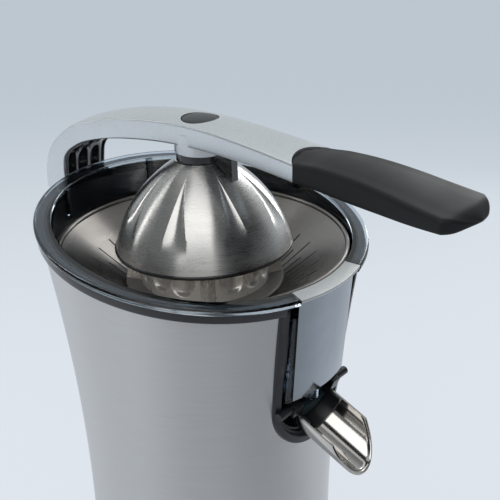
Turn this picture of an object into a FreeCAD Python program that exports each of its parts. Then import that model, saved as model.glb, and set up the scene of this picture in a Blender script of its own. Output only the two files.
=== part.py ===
import FreeCAD, Part
import math
import os
import Sketcher
from FreeCAD import Placement, Rotation, Vector

# Lever citrus press. Millimetres, +Z up, origin on the body's axis at the table.
# +X points to the spout and the grip, -X to the arm's hinge.

doc = FreeCAD.newDocument("citrus_press")

SIZES = {
    # sloping rim of the juice bowl
    "rim_height": 250.0,
    "rim_radius": 93.0,
    "rim_tilt": 7.5,
    "lip_depth": 4.5,
    "lip_round": 1.6,
    # flared steel housing and its collar
    "waist_radius": 74.3,
    "waist_height": 60.0,
    "flare_radius": 1160.0,
    "shell_wall": 1.5,
    "shell_bottom": 5.0,
    "shell_top": 262.0,
    "collar_depth": 4.1,
    "collar_inset": 2.2,
    "collar_width": 5.2,
    # base
    "foot_height": 3.0,
    "foot_radius": 71.0,
    "foot_width": 12.0,
    "base_thickness": 4.0,
    "base_lip": 7.0,
    "base_wall": 2.0,
    "base_screw_radius": 2.2,
    "base_screw_circle": 54.0,
    "base_screw_count": 3,
    "gland_height": 22.0,
    "gland_radius": 6.5,
    "gland_bore": 3.6,
    # spout frame and its recess
    "frame_top_half": 35.0,
    "frame_low_half": 30.5,
    "frame_wall": 3.5,
    "frame_proud": 1.6,
    "frame_arc_drop": 82.0,
    "frame_back": 62.0,
    "recess_floor": 3.0,
    # juice bowl
    "bowl_radius": 85.4,
    "bowl_wall": 2.0,
    "bowl_low_radius": 80.8,
    "bowl_drop": 52.0,
    "bowl_floor": 2.0,
    "floor_rise": 6.5,
    "chimney_radius": 14.0,
    "chimney_height": 4.0,
    "ledge_width": 2.8,
    # duct at the front of the bowl
    "duct_back": 70.0,
    "duct_front_radius": 88.0,
    "duct_half": 25.0,
    "duct_drop": 78.0,
    "duct_roof": 24.0,
    "window_half": 17.0,
    "window_reach": 20.0,
    "window_low": 50.5,
    "window_high": 31.0,
    "nozzle_x": 79.0,
    "nozzle_radius": 7.0,
    "nozzle_tip": 4.6,
    "nozzle_bore": 3.0,
    "nozzle_length": 7.0,
    "notch_half": 26.0,
    "panel_thick": 1.0,
    "panel_inset": 1.5,
    # strainer
    "strainer_radius": 82.0,
    "strainer_drop": 13.0,
    "strainer_roll": 1.3,
    "strainer_sheet": 1.0,
    "strainer_knee": 49.0,
    "strainer_knee_drop": 37.5,
    "strainer_floor_drop": 40.0,
    "strainer_hole": 15.0,
    "strainer_hole_lip": 2.0,
    "slot_rows": 3,
    "slot_count": 20,
    "slot_first": 51.5,
    "slot_pitch": 4.6,
    "slot_width": 1.5,
    "slot_arc": 11.0,
    # deck and drive shaft
    "deck_drop": 57.0,
    "deck_thick": 3.0,
    "sleeve_radius": 10.5,
    "sleeve_height": 10.0,
    "bush_radius": 8.0,
    "bush_length": 8.0,
    "seal_height": 2.6,
    "shaft_radius": 5.0,
    "shaft_bottom": 97.0,
    "shaft_top_drop": 24.0,
    "shaft_hex": 8.0,
    "shaft_hex_top": 132.0,
    "spring_seat": 150.0,
    "spring_collar_radius": 9.5,
    "spring_collar": 3.0,
    "spring_radius": 7.4,
    "spring_wire": 0.8,
    "spring_turns": 4,
    # reamer
    "reamer_drop": 34.0,
    "reamer_radius": 36.5,
    "reamer_tip": 12.0,
    "reamer_band": 17.0,
    "reamer_taper": 2.0,
    "reamer_arc": 73.0,
    "reamer_wall": 5.0,
    "reamer_hub": 9.0,
    "reamer_hub_drop": 41.0,
    "fin_reach": 43.5,
    "fin_half": 6.0,
    "fin_count": 4,
    "fin_turn": -45.0,
    "scoops_between": 3,
    "scoop_radius": 9.0,
    "scoop_out": 42.5,
    "scoop_drop": 21.5,
    "skirt_radius": 45.0,
    "skirt_thick": 1.6,
    # press dome
    "dome_radius": 49.0,
    "dome_drop": 12.5,
    "dome_height": 48.5,
    "dome_flat": 13.5,
    "dome_arc": 63.0,
    "dome_wall": 2.6,
    "dome_tilt": 2.0,
    "flute_count": 8,
    "flute_radius": 2.6,
    "flute_depth": 1.1,
    "flute_low": 8.7,
    "gasket_height": 2.2,
    "gasket_width": 3.2,
    "hub_radius": 16.5,
    "hub_rise": 40.5,
    "hub_depth": 10.0,
    "stud_radius": 5.0,
    "stud_short": 1.5,
    "nut_radius": 8.0,
    "nut_height": 5.0,
    "boss_radius": 17.5,
    "boss_sink": 7.0,
    # arm and hinge
    "hinge_out": 13.0,
    "hinge_drop": 22.0,
    "hinge_pin": 4.0,
    "knuckle_radius": 9.4,
    "knuckle_half": 13.0,
    "cheek_half": 19.0,
    "cheek_radius": 10.0,
    "bracket_web": 14.5,
    "arm_crown": 1.6,
    "arm_corner": 1.0,
    "cover_thick": 1.4,
    "cover_inset": 2.2,
    "cover_end": 52.0,
    "grip_start": 67.0,
    "grip_arc": 21.3,
    "grip_tip": 157.0,
    "grip_tip_half": 20.4,
    "grip_tip_arc": 26.0,
    "grip_crown": 1.3,
    "grip_corner": 3.2,
    "tang_half": 8.0,
    "tang_end": 138.0,
    "tang_lap": 4.0,
    "tang_low": 45.0,
    "tang_high": 48.6,
    "button_radius": 10.0,
    "button_rise": 59.4,
    "button_thick": 2.4,
    "button_travel": 2.5,
    "button_stem": 3.5,
    "button_stem_gap": 0.5,
    "button_crown": 0.8,
    "button_room": 0.35,
    # tilting chute
    "chute_x": 76.0,
    "chute_drop": 87.0,
    "chute_slope": 22.0,
    "chute_radius": 16.5,
    "chute_sheet": 1.2,
    "chute_top": 26.0,
    "chute_tip": 44.0,
    "chute_back": 2.0,
    "carrier_thick": 1.6,
    "carrier_length": 11.0,
    "ear_half": 3.5,
    "ear_rise": 7.5,
    "ear_reach": 20.0,
    "pivot_rise": 4.0,
    "pivot_radius": 2.4,
    "stopper_radius": 10.0,
    "stopper_thick": 3.0,
    # gear train
    "lay_x": 33.0,
    "lay_angle": 75.0,
    "fast_module": 0.9,
    "pinion_teeth": 10,
    "lay_teeth": 40,
    "slow_module": 1.0,
    "lay_pinion_teeth": 12,
    "output_teeth": 54,
    "pinion_extra": 1.0,
    "gearbox_floor": 94.0,
    "gearbox_plate": 4.0,
    "gearbox_radius": 66.0,
    "gearbox_wall": 2.0,
    "gearbox_room": 24.0,
    "gearbox_lid": 3.0,
    "fast_level": 101.0,
    "fast_width": 7.0,
    "slow_level": 110.0,
    "slow_width": 7.0,
    "output_hub": 7.0,
    "output_bush_wall": 2.0,
    "lay_pin_radius": 2.5,
    "post_radius": 4.0,
    "gear_screw_radius": 2.0,
    "gear_screw_count": 4,
    "gear_screw_turn": 20.0,
    # motor
    "motor_bottom": 20.0,
    "motor_radius": 27.0,
    "can_wall": 1.6,
    "stator_low": 38.0,
    "stator_high": 78.0,
    "stator_bore": 14.6,
    "coil_height": 7.0,
    "coil_bore": 16.5,
    "rotor_radius": 14.1,
    "motor_shaft": 2.5,
    "fan_level": 87.5,
    "fan_height": 3.5,
    "fan_radius": 22.0,
    "fan_hub": 5.0,
    "fan_blades": 7,
    "fan_sheet": 0.9,
    "motor_bush": 5.0,
    # start switch
    "switch_top": 92.0,
    "switch_height": 12.0,
    "switch_length": 25.0,
    "switch_width": 14.0,
    "switch_offset": 5.0,
    "switch_side": 2.0,
    "plunger_radius": 1.5,
    "plunger_depth": 6.0,
    "plunger_gap": 0.2,
    "press_travel": 2.0,
    # clearances
    "run_gap": 0.05,
    "seat_gap": 0.3,
    "slide_gap": 0.1,
}

# Shares of the module for a tooth's tip and foot, and of the pitch for its thickness.
TIP_SHARE = 0.85
FOOT_SHARE = 1.15
TOOTH_SHARE = 0.40
PRESSURE_ANGLE = 20.0

# Lap of two lumps that fuse into one piece, and a length that passes through any piece.
LAP = 1.0
THROUGH = 400.0

POSTS = ((45.0, 45.0), (45.0, -45.0), (-45.0, -45.0), (-61.0, 24.0))

# Arm sections at the rear: lower edge's way out from the rim's edge and z over the rim centre,
# the same of the upper edge, half width.
ARM_REAR = (
    (4.6, -3.0, 22.4, -3.0, 16.4),
    (4.6, 11.0, 21.2, 9.0, 16.8),
    (2.2, 21.5, 16.6, 21.5, 17.0),
    (-5.5, 28.2, 7.0, 32.4, 16.8),
    (-17.3, 34.0, -9.5, 43.0, 16.2),
)

# Arm sections over the bowl: lower edge x and z over the rim centre, upper edge x and z, half width.
ARM_SPAN = (
    (-52.0, 40.2, -55.0, 51.4, 15.4),
    (-20.0, 44.8, -21.0, 56.4, 14.4),
    (11.5, 46.5, 11.5, 57.7, 14.1),
    (42.0, 46.0, 43.0, 55.9, 14.7),
    (64.0, 44.5, 65.0, 53.9, 15.4),
    (82.0, 43.1, 83.0, 52.2, 16.2),
)

# Grip sections: x, lower and upper edge over the rim centre, half width.
GRIP_SECTIONS = (
    (62.0, 44.4, 54.0, 15.3),
    (75.0, 43.3, 53.5, 15.9),
    (88.0, 42.5, 54.5, 16.5),
    (106.0, 41.3, 54.2, 17.6),
    (124.0, 40.6, 52.5, 18.7),
    (140.0, 40.1, 50.2, 19.7),
    (156.0, 40.3, 48.1, 20.4),
    (172.0, 40.8, 46.4, 20.6),
)

sheet = doc.addObject("Spreadsheet::Sheet", "Sizes")
for row, (alias, number) in enumerate(SIZES.items(), start=1):
    sheet.set(f"A{row}", alias)
    sheet.set(f"B{row}", str(number))
    sheet.setAlias(f"B{row}", alias)
doc.recompute()


class Dim:
    """A size: its number now, and the expression that keeps it tied to the sheet."""

    def __init__(self, value, text):
        self.value = float(value)
        self.text = text

    @staticmethod
    def of(other):
        return other if isinstance(other, Dim) else Dim(other, f"({float(other)})")

    def __add__(self, other):
        other = Dim.of(other)
        return Dim(self.value + other.value, f"({self.text} + {other.text})")

    def __sub__(self, other):
        other = Dim.of(other)
        return Dim(self.value - other.value, f"({self.text} - {other.text})")

    def __mul__(self, other):
        other = Dim.of(other)
        return Dim(self.value * other.value, f"({self.text} * {other.text})")

    def __truediv__(self, other):
        other = Dim.of(other)
        return Dim(self.value / other.value, f"({self.text} / {other.text})")

    def __neg__(self):
        return Dim(-self.value, f"(0 - {self.text})")

    def root(self):
        return Dim(math.sqrt(self.value), f"sqrt({self.text})")


class Sheet:
    """Gives each alias of the sheet as a Dim."""

    def __getattr__(self, alias):
        return Dim(SIZES[alias], f"Sizes.{alias}")


S = Sheet()


def mm(size):
    """The plain number of a size."""
    return Dim.of(size).value


def above_rim(rise):
    """Height over the table of a level that lies above the rim's centre."""
    return S.rim_height + rise


def below_rim(drop):
    return S.rim_height - drop


def hinge_x():
    """Distance of the arm's hinge behind the axis: a little way out from the rim's edge."""
    return S.rim_radius + S.hinge_out


def shell_radius(level, inset=0.0):
    """Radius of the flared housing at a level, less an inset."""
    rise = Dim.of(level) - S.waist_height
    sweep = (S.flare_radius * S.flare_radius - rise * rise).root()
    return S.waist_radius + S.flare_radius - sweep - inset


def chord(radius, half):
    """Distance from the centre to the chord of that half length."""
    return (Dim.of(radius) * radius - Dim.of(half) * half).root()


def origin_plane(body, role):
    return next(item for item in body.Origin.OriginFeatures if item.Role == role)


def arc_between(first, last, radius):
    """Minor arc between two points: a positive radius turns left, a negative one right."""
    span = last - first
    middle = (first + last) * 0.5
    left = Vector(-span.y, span.x, 0).normalize()
    rise = math.sqrt(radius * radius - span.Length * span.Length / 4)
    centre = middle + left * (rise if radius > 0 else -rise)
    start, end = (first, last) if radius > 0 else (last, first)
    angles = [math.atan2(point.y - centre.y, point.x - centre.x) for point in (start, end)]
    circle = Part.Circle(centre, Vector(0, 0, 1), abs(radius))
    return Part.ArcOfCircle(circle, angles[0], angles[1])


def outline(body, role, corners, offset=None):
    """Closed sketch through corners (x, y) or (x, y, radius of the arc to the next), bound to the sheet."""
    sketch = body.newObject("Sketcher::SketchObject", "Outline")
    sketch.AttachmentSupport = [(origin_plane(body, role), "")]
    sketch.MapMode = "FlatFace"
    if offset is not None:
        sketch.setExpression("AttachmentOffset.Base.z", Dim.of(offset).text)
    points = [Vector(mm(corner[0]), mm(corner[1]), 0) for corner in corners]
    ends = []
    for index, corner in enumerate(corners):
        first = points[index]
        last = points[(index + 1) % len(points)]
        bend = mm(corner[2]) if len(corner) > 2 else 0.0
        side = arc_between(first, last, bend) if bend else Part.LineSegment(first, last)
        sketch.addGeometry(side)
        ends.append((2, 1) if bend < 0 else (1, 2))
    for index, corner in enumerate(corners):
        after = (index + 1) % len(corners)
        sketch.addConstraint(Sketcher.Constraint("Coincident", index, ends[index][1], after, ends[after][0]))
    for index, corner in enumerate(corners):
        for kind, size in zip(("DistanceX", "DistanceY"), corner):
            number = sketch.addConstraint(
                Sketcher.Constraint(kind, -1, 1, index, ends[index][0], mm(size)))
            sketch.setExpression(f"Constraints[{number}]", Dim.of(size).text)
        if len(corner) > 2:
            bend = Dim.of(corner[2])
            bend = bend if bend.value > 0 else -bend
            number = sketch.addConstraint(Sketcher.Constraint("Radius", index, bend.value))
            sketch.setExpression(f"Constraints[{number}]", bend.text)
    return sketch


def place(item, x=0.0, y=0.0, z=0.0):
    for axis, size in zip("xyz", (x, y, z)):
        item.setExpression(f"Placement.Base.{axis}", Dim.of(size).text)
    return item


def turned(label, corners, x=0.0, y=0.0, z=0.0):
    """Body of revolution about an upright axis; corners are radius and height."""
    body = doc.addObject("PartDesign::Body", label)
    body.Label = label
    sketch = outline(body, "XZ_Plane", corners)
    feature = body.newObject("PartDesign::Revolution", "Turn")
    feature.Profile = sketch
    feature.ReferenceAxis = (sketch, ["V_Axis"])
    feature.Angle = 360
    return place(body, x, y, z)


def ring(label, outer, inner, low, high, x=0.0, y=0.0):
    """Plain tube between two heights."""
    return turned(label, ((inner, low), (outer, low), (outer, high), (inner, high)), x, y)


def disc(label, radius, low, high, x=0.0, y=0.0):
    """Plain round bar between two heights."""
    return turned(label, ((0, low), (radius, low), (radius, high), (0, high)), x, y)


def prism(label, role, corners, start, length, symmetric=False):
    """Outline on an origin plane, extruded along that plane's normal."""
    body = doc.addObject("PartDesign::Body", label)
    body.Label = label
    sketch = outline(body, role, corners, None if symmetric else start)
    feature = body.newObject("PartDesign::Pad", "Extrude")
    feature.Profile = sketch
    feature.setExpression("Length", Dim.of(length).text)
    if symmetric:
        feature.SideType = "Symmetric"
    return body


def block(label, x0, x1, y0, y1, z0, z1):
    """Box between two corners."""
    return prism(label, "XY_Plane", ((x0, y0), (x1, y0), (x1, y1), (x0, y1)), z0, Dim.of(z1) - z0)


def boolean(kind, label, base, tools):
    item = doc.addObject(kind, label)
    item.Label = label
    if kind == "Part::Cut":
        item.Base = base
        item.Tool = tools[0] if len(tools) == 1 else boolean("Part::MultiFuse", f"{label}_tools", None, tools)
    else:
        item.Shapes = ([base] if base else []) + list(tools)
    return item


def cut(label, base, *tools):
    return boolean("Part::Cut", label, base, tools)


def fuse(label, *items):
    return boolean("Part::MultiFuse", label, None, items)


def common(label, *items):
    return boolean("Part::MultiCommon", label, None, items)


def shaped(label, shape, placement=None):
    """Sub-part whose shape is worked out here from the sheet's sizes."""
    item = doc.addObject("Part::Feature", label)
    item.Label = label
    item.Shape = shape
    if placement:
        item.Placement = placement
    return item


def copies(label, item, places):
    """Group of equal solids at several places."""
    doc.recompute()
    solids = []
    for x, y in places:
        solid = item.Shape.copy()
        solid.translate(Vector(x, y, 0))
        solids.append(solid)
    return shaped(label, Part.makeCompound(solids))


def circle_spots(radius, count, first_turn):
    """Places spread evenly on a circle, from a first angle in degrees."""
    turns = [math.radians(mm(first_turn) + 360 * index / mm(count)) for index in range(int(mm(count)))]
    return [(mm(radius) * math.cos(turn), mm(radius) * math.sin(turn)) for turn in turns]


def tilt_frame():
    """Frame at the rim's centre, leaning down towards the spout."""
    return Placement(Vector(0, 0, mm(S.rim_height)), Rotation(Vector(0, 1, 0), mm(S.rim_tilt)))


def tilted(body):
    """Sets a turned body, made about the rim's centre, on the sloping rim."""
    body.setExpression("Placement.Base.z", "Sizes.rim_height")
    body.Placement.Rotation = Rotation(Vector(0, 1, 0), mm(S.rim_tilt))
    return body


def above_slope(label, drop):
    """Room above a plane that runs parallel to the rim, a drop below it."""
    size = mm(S.rim_radius) * 4
    box = Part.makeBox(size, size, size, Vector(-size / 2, -size / 2, -mm(drop)))
    return shaped(label, box, tilt_frame())


def polygon(points):
    return Part.Wire(Part.makePolygon(list(points) + [points[0]]))


def gear_solid(teeth, module, width, phase):
    """Spur gear with thinned involute teeth, so that a mesh keeps its play; phase turns tooth one."""
    pressure = math.radians(PRESSURE_ANGLE)
    pitch = teeth * module / 2
    base = pitch * math.cos(pressure)
    tip = pitch + TIP_SHARE * module
    foot = pitch - FOOT_SHARE * module
    half_tooth = TOOTH_SHARE * math.pi / teeth

    def flank(radius):
        spread = math.acos(min(1.0, base / radius))
        return half_tooth + math.tan(pressure) - pressure - (math.tan(spread) - spread)

    points = []
    for tooth in range(teeth):
        centre = phase + 2 * math.pi * tooth / teeth
        sides = [(foot, flank(max(foot, base))), (pitch, flank(pitch)), (tip, flank(tip))]
        for radius, angle in sides:
            points.append((radius, centre - angle))
        for radius, angle in reversed(sides):
            points.append((radius, centre + angle))
    corners = [Vector(radius * math.cos(angle), radius * math.sin(angle), 0) for radius, angle in points]
    return Part.Face(polygon(corners)).extrude(Vector(0, 0, width))


def section_wire(lower, upper, half, crown, corner):
    """Rounded arm section between a lower and an upper edge point in the plane y = 0, with a crowned top."""
    up = (upper - lower).normalize()
    side = Vector(0, 1, 0)
    height = (upper - lower).Length
    near = corner * (1 - math.sqrt(0.5))

    def at(across, rise):
        return lower + side * across + up * rise

    def line(first, last):
        return Part.LineSegment(first, last).toShape()

    def arc(first, middle, last):
        return Part.Arc(first, middle, last).toShape()

    inner = half - corner
    top = height - corner
    return Part.Wire([
        line(at(-inner, 0), at(inner, 0)),
        arc(at(inner, 0), at(half - near, near), at(half, corner)),
        line(at(half, corner), at(half, top)),
        arc(at(half, top), at(half - near, height - near), at(inner, height)),
        arc(at(inner, height), at(0, height + crown), at(-inner, height)),
        arc(at(-inner, height), at(near - half, height - near), at(-half, top)),
        line(at(-half, top), at(-half, corner)),
        arc(at(-half, corner), at(near - half, near), at(-inner, 0)),
    ])


def over_rim(x, rise):
    """Point in the plane y = 0 at a height over the rim's centre."""
    return Vector(x, 0, mm(S.rim_height) + rise)


def housing():
    """Steel shell, collar, spout frame, deck, base and hinge bracket."""
    low, high = S.shell_bottom, S.shell_top
    skin_radius = S.flare_radius + S.shell_wall
    shell = turned("shell_blank", (
        (shell_radius(low), low, -S.flare_radius),
        (shell_radius(high), high),
        (shell_radius(high, S.shell_wall), high, skin_radius),
        (shell_radius(low, S.shell_wall), low),
    ))
    shell_solid = turned("shell_solid", (
        (0, low), (shell_radius(low), low, -S.flare_radius), (shell_radius(high), high), (0, high)))
    frame_low = below_rim(S.frame_arc_drop + S.frame_low_half * 2)
    frame_solid = turned("frame_solid", (
        (0, frame_low),
        (shell_radius(frame_low) + S.frame_proud, frame_low, -S.flare_radius),
        (shell_radius(high) + S.frame_proud, high),
        (0, high),
    ))
    top_room = above_slope("shell_top_room", S.lip_depth + S.collar_depth)
    lip_room = above_slope("lip_room", S.lip_depth)

    reach = S.rim_radius * 1.2
    arc_level = below_rim(S.frame_arc_drop)

    def frame_outline(label, top_half, low_half, start):
        return prism(label, "YZ_Plane", (
            (-top_half, high), (-low_half, arc_level, low_half), (0, arc_level - low_half, low_half),
            (low_half, arc_level), (top_half, high)), start, reach - start)

    frame_block = frame_outline("frame_block", S.frame_top_half, S.frame_low_half, S.frame_back)
    pocket = frame_outline("frame_pocket", S.frame_low_half - S.frame_wall, S.frame_low_half - S.frame_wall,
                           S.frame_back + S.recess_floor)
    gland_hole = prism("gland_hole", "YZ_Plane", round_corners(0, S.gland_height, S.gland_radius),
                       -reach, reach - S.foot_radius + S.foot_width)
    cut("housing_shell", shell, top_room, frame_block, gland_hole)
    gland = prism("gland_blank", "YZ_Plane", round_corners(0, S.gland_height, S.gland_radius - S.run_gap),
                  -(shell_radius(S.gland_height) + S.base_thickness), S.base_thickness * 2)
    gland_bore = prism("gland_bore_room", "YZ_Plane", round_corners(0, S.gland_height, S.gland_bore),
                       -reach, reach)
    cut("cord_gland", gland, gland_bore)

    collar_out = S.rim_radius - S.collar_inset
    collar = tilted(turned("collar_blank", (
        (collar_out - S.collar_width, -(S.lip_depth + S.collar_depth)),
        (collar_out, -(S.lip_depth + S.collar_depth)),
        (collar_out, -S.lip_depth),
        (collar_out - S.collar_width, -S.lip_depth),
    )))
    bowl_room = turned("bowl_room", (
        (0, below_rim(S.deck_drop)),
        (S.bowl_low_radius + S.seat_gap, below_rim(S.deck_drop)),
        (S.bowl_low_radius + S.seat_gap, below_rim(S.bowl_drop)),
        (S.bowl_radius + S.seat_gap, below_rim(S.strainer_drop + S.lip_depth)),
        (S.bowl_radius + S.seat_gap, high),
        (0, high),
    ))
    cut("collar", collar, frame_block, bowl_room)
    frame = common("frame_skin", frame_block, frame_solid)
    pins = chute_pin_shape("frame_pin_room", S.pivot_radius)
    cut("spout_frame", frame, pocket, bowl_room, lip_room, pins)

    deck_top = below_rim(S.deck_drop)
    deck_low = deck_top - S.deck_thick
    deck = turned("deck_blank", (
        (S.shaft_radius + S.seat_gap, deck_low),
        (shell_radius(deck_low, S.shell_wall + S.seat_gap), deck_low),
        (shell_radius(deck_top, S.shell_wall + S.seat_gap), deck_top),
        (S.sleeve_radius, deck_top),
        (S.sleeve_radius, deck_top + S.sleeve_height),
        (S.bush_radius, deck_top + S.sleeve_height),
        (S.bush_radius, deck_top + S.sleeve_height - S.bush_length - S.seal_height),
        (S.shaft_radius + S.seat_gap, deck_top + S.sleeve_height - S.bush_length - S.seal_height),
    ))
    cut("deck", deck, frame_block)
    seal_low = deck_top + S.sleeve_height - S.seal_height
    ring("shaft_bush", S.bush_radius, S.shaft_radius + S.run_gap, seal_low - S.bush_length, seal_low)
    turned("shaft_seal", (
        (S.shaft_radius + S.run_gap, seal_low),
        (S.bush_radius, seal_low),
        (S.bush_radius, seal_low + S.seal_height),
        (S.shaft_radius + S.seal_height, seal_low + S.seal_height),
        (S.shaft_radius + S.run_gap, seal_low + S.seal_height / 2),
    ))

    base_top = low + S.base_thickness
    base_radius = shell_radius(base_top + S.base_lip, S.shell_wall + S.seat_gap)
    base = turned("base_blank", (
        (0, S.foot_height),
        (shell_radius(low), S.foot_height),
        (shell_radius(low), low),
        (base_radius, low),
        (base_radius, base_top + S.base_lip),
        (base_radius - S.base_wall, base_top + S.base_lip),
        (base_radius - S.base_wall, base_top),
        (0, base_top),
    ))
    motor_x, motor_y = motor_place()
    pedestal = ring("motor_pedestal", S.motor_radius - S.can_wall, S.stator_bore, base_top - S.run_gap,
                    S.motor_bottom, motor_x, motor_y)
    screw_spots = circle_spots(S.base_screw_circle, S.base_screw_count, 0)
    screw = turned("base_screw_form", (
        (0, S.foot_height),
        (S.base_screw_radius * 2, S.foot_height),
        (S.base_screw_radius * 2, S.foot_height + S.base_screw_radius),
        (S.base_screw_radius, S.foot_height + S.base_screw_radius),
        (S.base_screw_radius, base_top + S.base_lip),
        (0, base_top + S.base_lip),
    ))
    screws = copies("base_screws", screw, screw_spots)
    base_body = fuse("base_body", base, pedestal)
    cut("base_plate", base_body, screws, gland_hole)
    ring("foot_ring", S.foot_radius, S.foot_radius - S.foot_width, 0, S.foot_height)

    hinge_level = below_rim(S.hinge_drop)
    bracket_top = hinge_level + S.cheek_radius
    bracket = prism("bracket_arm", "XZ_Plane", (
        (-hinge_x(), hinge_level - S.cheek_radius),
        (-S.waist_radius, hinge_level - S.cheek_radius * 2),
        (-S.waist_radius, bracket_top),
        (-hinge_x(), bracket_top),
    ), 0, S.cheek_half * 2, symmetric=True)
    cheeks = cross_bar("bracket_cheeks", S.cheek_radius, S.cheek_half)
    gap = block("bracket_gap", -hinge_x() * 1.5, -(hinge_x() - S.bracket_web), -(S.knuckle_half + S.seat_gap),
                S.knuckle_half + S.seat_gap, hinge_level - S.cheek_radius * 3, high)
    pin_room = cross_bar("bracket_pin_room", S.hinge_pin, S.cheek_half * 2)
    bracket_body = fuse("bracket_body", bracket, cheeks)
    cut("hinge_bracket", bracket_body, shell_solid, gap, pin_room)
    cross_bar("hinge_pin", S.hinge_pin, S.cheek_half)


def round_corners(across, level, radius):
    """Corners of a full circle for an outline."""
    across = Dim.of(across)
    level = Dim.of(level)
    return (
        (across + radius, level, radius), (across, level + radius, radius),
        (across - radius, level, radius), (across, level - radius, radius),
    )


def cross_bar(label, radius, half):
    """Bar along Y on the arm's hinge axis."""
    return prism(label, "XZ_Plane", round_corners(-hinge_x(), below_rim(S.hinge_drop), radius),
                 0, Dim.of(half) * 2, symmetric=True)


def chute_frame():
    """Frame on the chute's axis, sloping down to the front."""
    return Placement(Vector(mm(S.chute_x), 0, mm(below_rim(S.chute_drop))),
                     Rotation(Vector(0, 1, 0), mm(S.chute_slope)))


def chute_pin_shape(label, radius):
    """Two stub pins that carry the chute, one in each side wall of the recess."""
    inner = mm(S.chute_radius - S.chute_sheet)
    outer = mm(S.frame_low_half)
    pins = [
        Part.makeCylinder(mm(radius), outer - inner, Vector(0, start, mm(S.pivot_rise)), Vector(0, 1, 0))
        for start in (inner, -outer)
    ]
    return shaped(label, Part.makeCompound(pins), chute_frame())


def juice_path():
    """Clear bowl with its duct, the panel and cap on the duct, and the strainer."""
    ledge = below_rim(S.strainer_drop + S.strainer_roll + S.slide_gap)
    inner = S.bowl_radius - S.bowl_wall
    low = below_rim(S.bowl_drop)
    low_inner = S.bowl_low_radius - S.bowl_wall
    chimney_inner = S.chimney_radius - S.bowl_wall
    crest = low + S.floor_rise
    wall = turned("bowl_wall_blank", (
        (S.bowl_radius, S.shell_top),
        (inner, S.shell_top),
        (inner, ledge),
        (inner - S.ledge_width, ledge),
        (low_inner, low),
        (S.chimney_radius, crest),
        (S.chimney_radius, crest + S.chimney_height),
        (chimney_inner, crest + S.chimney_height),
        (chimney_inner, crest - S.bowl_floor),
        (low_inner, low - S.bowl_floor),
        (S.bowl_low_radius, low),
        (S.bowl_radius, ledge - S.lip_depth),
    ))
    wall_room = above_slope("wall_top_room", S.lip_depth / 2)
    wall_cut = cut("bowl_wall_cut", wall, wall_room)
    lip = tilted(turned("lip_blank", (
        (inner - S.bowl_wall, -S.lip_depth),
        (S.rim_radius - S.lip_round, -S.lip_depth, S.lip_round),
        (S.rim_radius, -(S.lip_depth - S.lip_round)),
        (S.rim_radius, -S.lip_round, S.lip_round),
        (S.rim_radius - S.lip_round, 0),
        (inner - S.bowl_wall, 0),
    )))
    reach = S.rim_radius * 1.2
    notch = block("lip_notch", 0, reach, -S.notch_half, S.notch_half, low, S.shell_top)
    lip_cut = cut("lip_cut", lip, notch)

    duct_low = below_rim(S.duct_drop)
    duct_room = above_slope("duct_top_room", S.lip_depth)

    def duct_block(label, inset, start, high):
        half = S.duct_half - inset
        radius = S.duct_front_radius - inset
        front = chord(radius, half)
        back = S.duct_back + inset
        return prism(label, "XY_Plane", ((back, -half), (front, -half, radius), (front, half), (back, half)),
                     start, high - start)

    duct = cut("duct_cut", duct_block("duct_blank", 0, duct_low, S.shell_top), duct_room)
    hollow = duct_block("duct_hollow", S.bowl_wall, duct_low + S.bowl_floor, below_rim(S.duct_roof))
    window = block("duct_window", S.duct_back - S.window_reach, S.duct_back + S.bowl_wall * 2,
                   -S.window_half, S.window_half, below_rim(S.window_low), below_rim(S.window_high))
    nozzle = turned("nozzle_blank", (
        (0, duct_low + S.bowl_floor / 2), (0, duct_low - S.nozzle_length),
        (S.nozzle_tip, duct_low - S.nozzle_length), (S.nozzle_radius, duct_low),
        (S.nozzle_radius, duct_low + S.bowl_floor / 2),
    ), S.nozzle_x)
    nozzle_bore = disc("nozzle_bore_room", S.nozzle_bore, duct_low - S.nozzle_length * 2,
                       duct_low + S.bowl_floor * 2, S.nozzle_x)
    strainer_edge = S.strainer_radius - S.strainer_roll / 2
    knee_room = ledge - S.strainer_knee_drop + S.strainer_drop
    strainer_room = turned("strainer_room", (
        (0, knee_room), (S.strainer_knee, knee_room), (strainer_edge, ledge), (inner, ledge),
        (inner, S.shell_top), (0, S.shell_top),
    ))
    cap_space = common("cap_space", notch, duct_room)
    bowl = fuse("bowl_body", wall_cut, lip_cut, duct, nozzle)
    cut("juice_bowl", bowl, hollow, window, nozzle_bore, strainer_room, cap_space)

    panel_half = S.duct_half - S.panel_inset
    panel_back = S.duct_front_radius + S.run_gap
    panel_front = panel_back + S.panel_thick
    prism("spout_panel", "XY_Plane", (
        (chord(panel_back, panel_half), -panel_half),
        (chord(panel_front, panel_half), -panel_half, panel_front),
        (chord(panel_front, panel_half), panel_half),
        (chord(panel_back, panel_half), panel_half, -panel_back),
    ), duct_low + S.bowl_floor, S.duct_drop - S.duct_roof + S.lip_depth)
    cap = tilted(turned("cap_blank", (
        (inner - S.bowl_wall, -S.lip_depth), (panel_front, -S.lip_depth),
        (panel_front, 0), (inner - S.bowl_wall, 0))))
    cap_room = block("cap_room", 0, reach, -(S.notch_half - S.seat_gap), S.notch_half - S.seat_gap,
                     low, S.shell_top)
    cap_piece = common("cap_piece", cap, cap_room)
    rim_room = disc("cap_rim_room", inner + S.seat_gap, low, S.shell_top)
    cut("spout_cap", cap_piece, rim_room)


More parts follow.
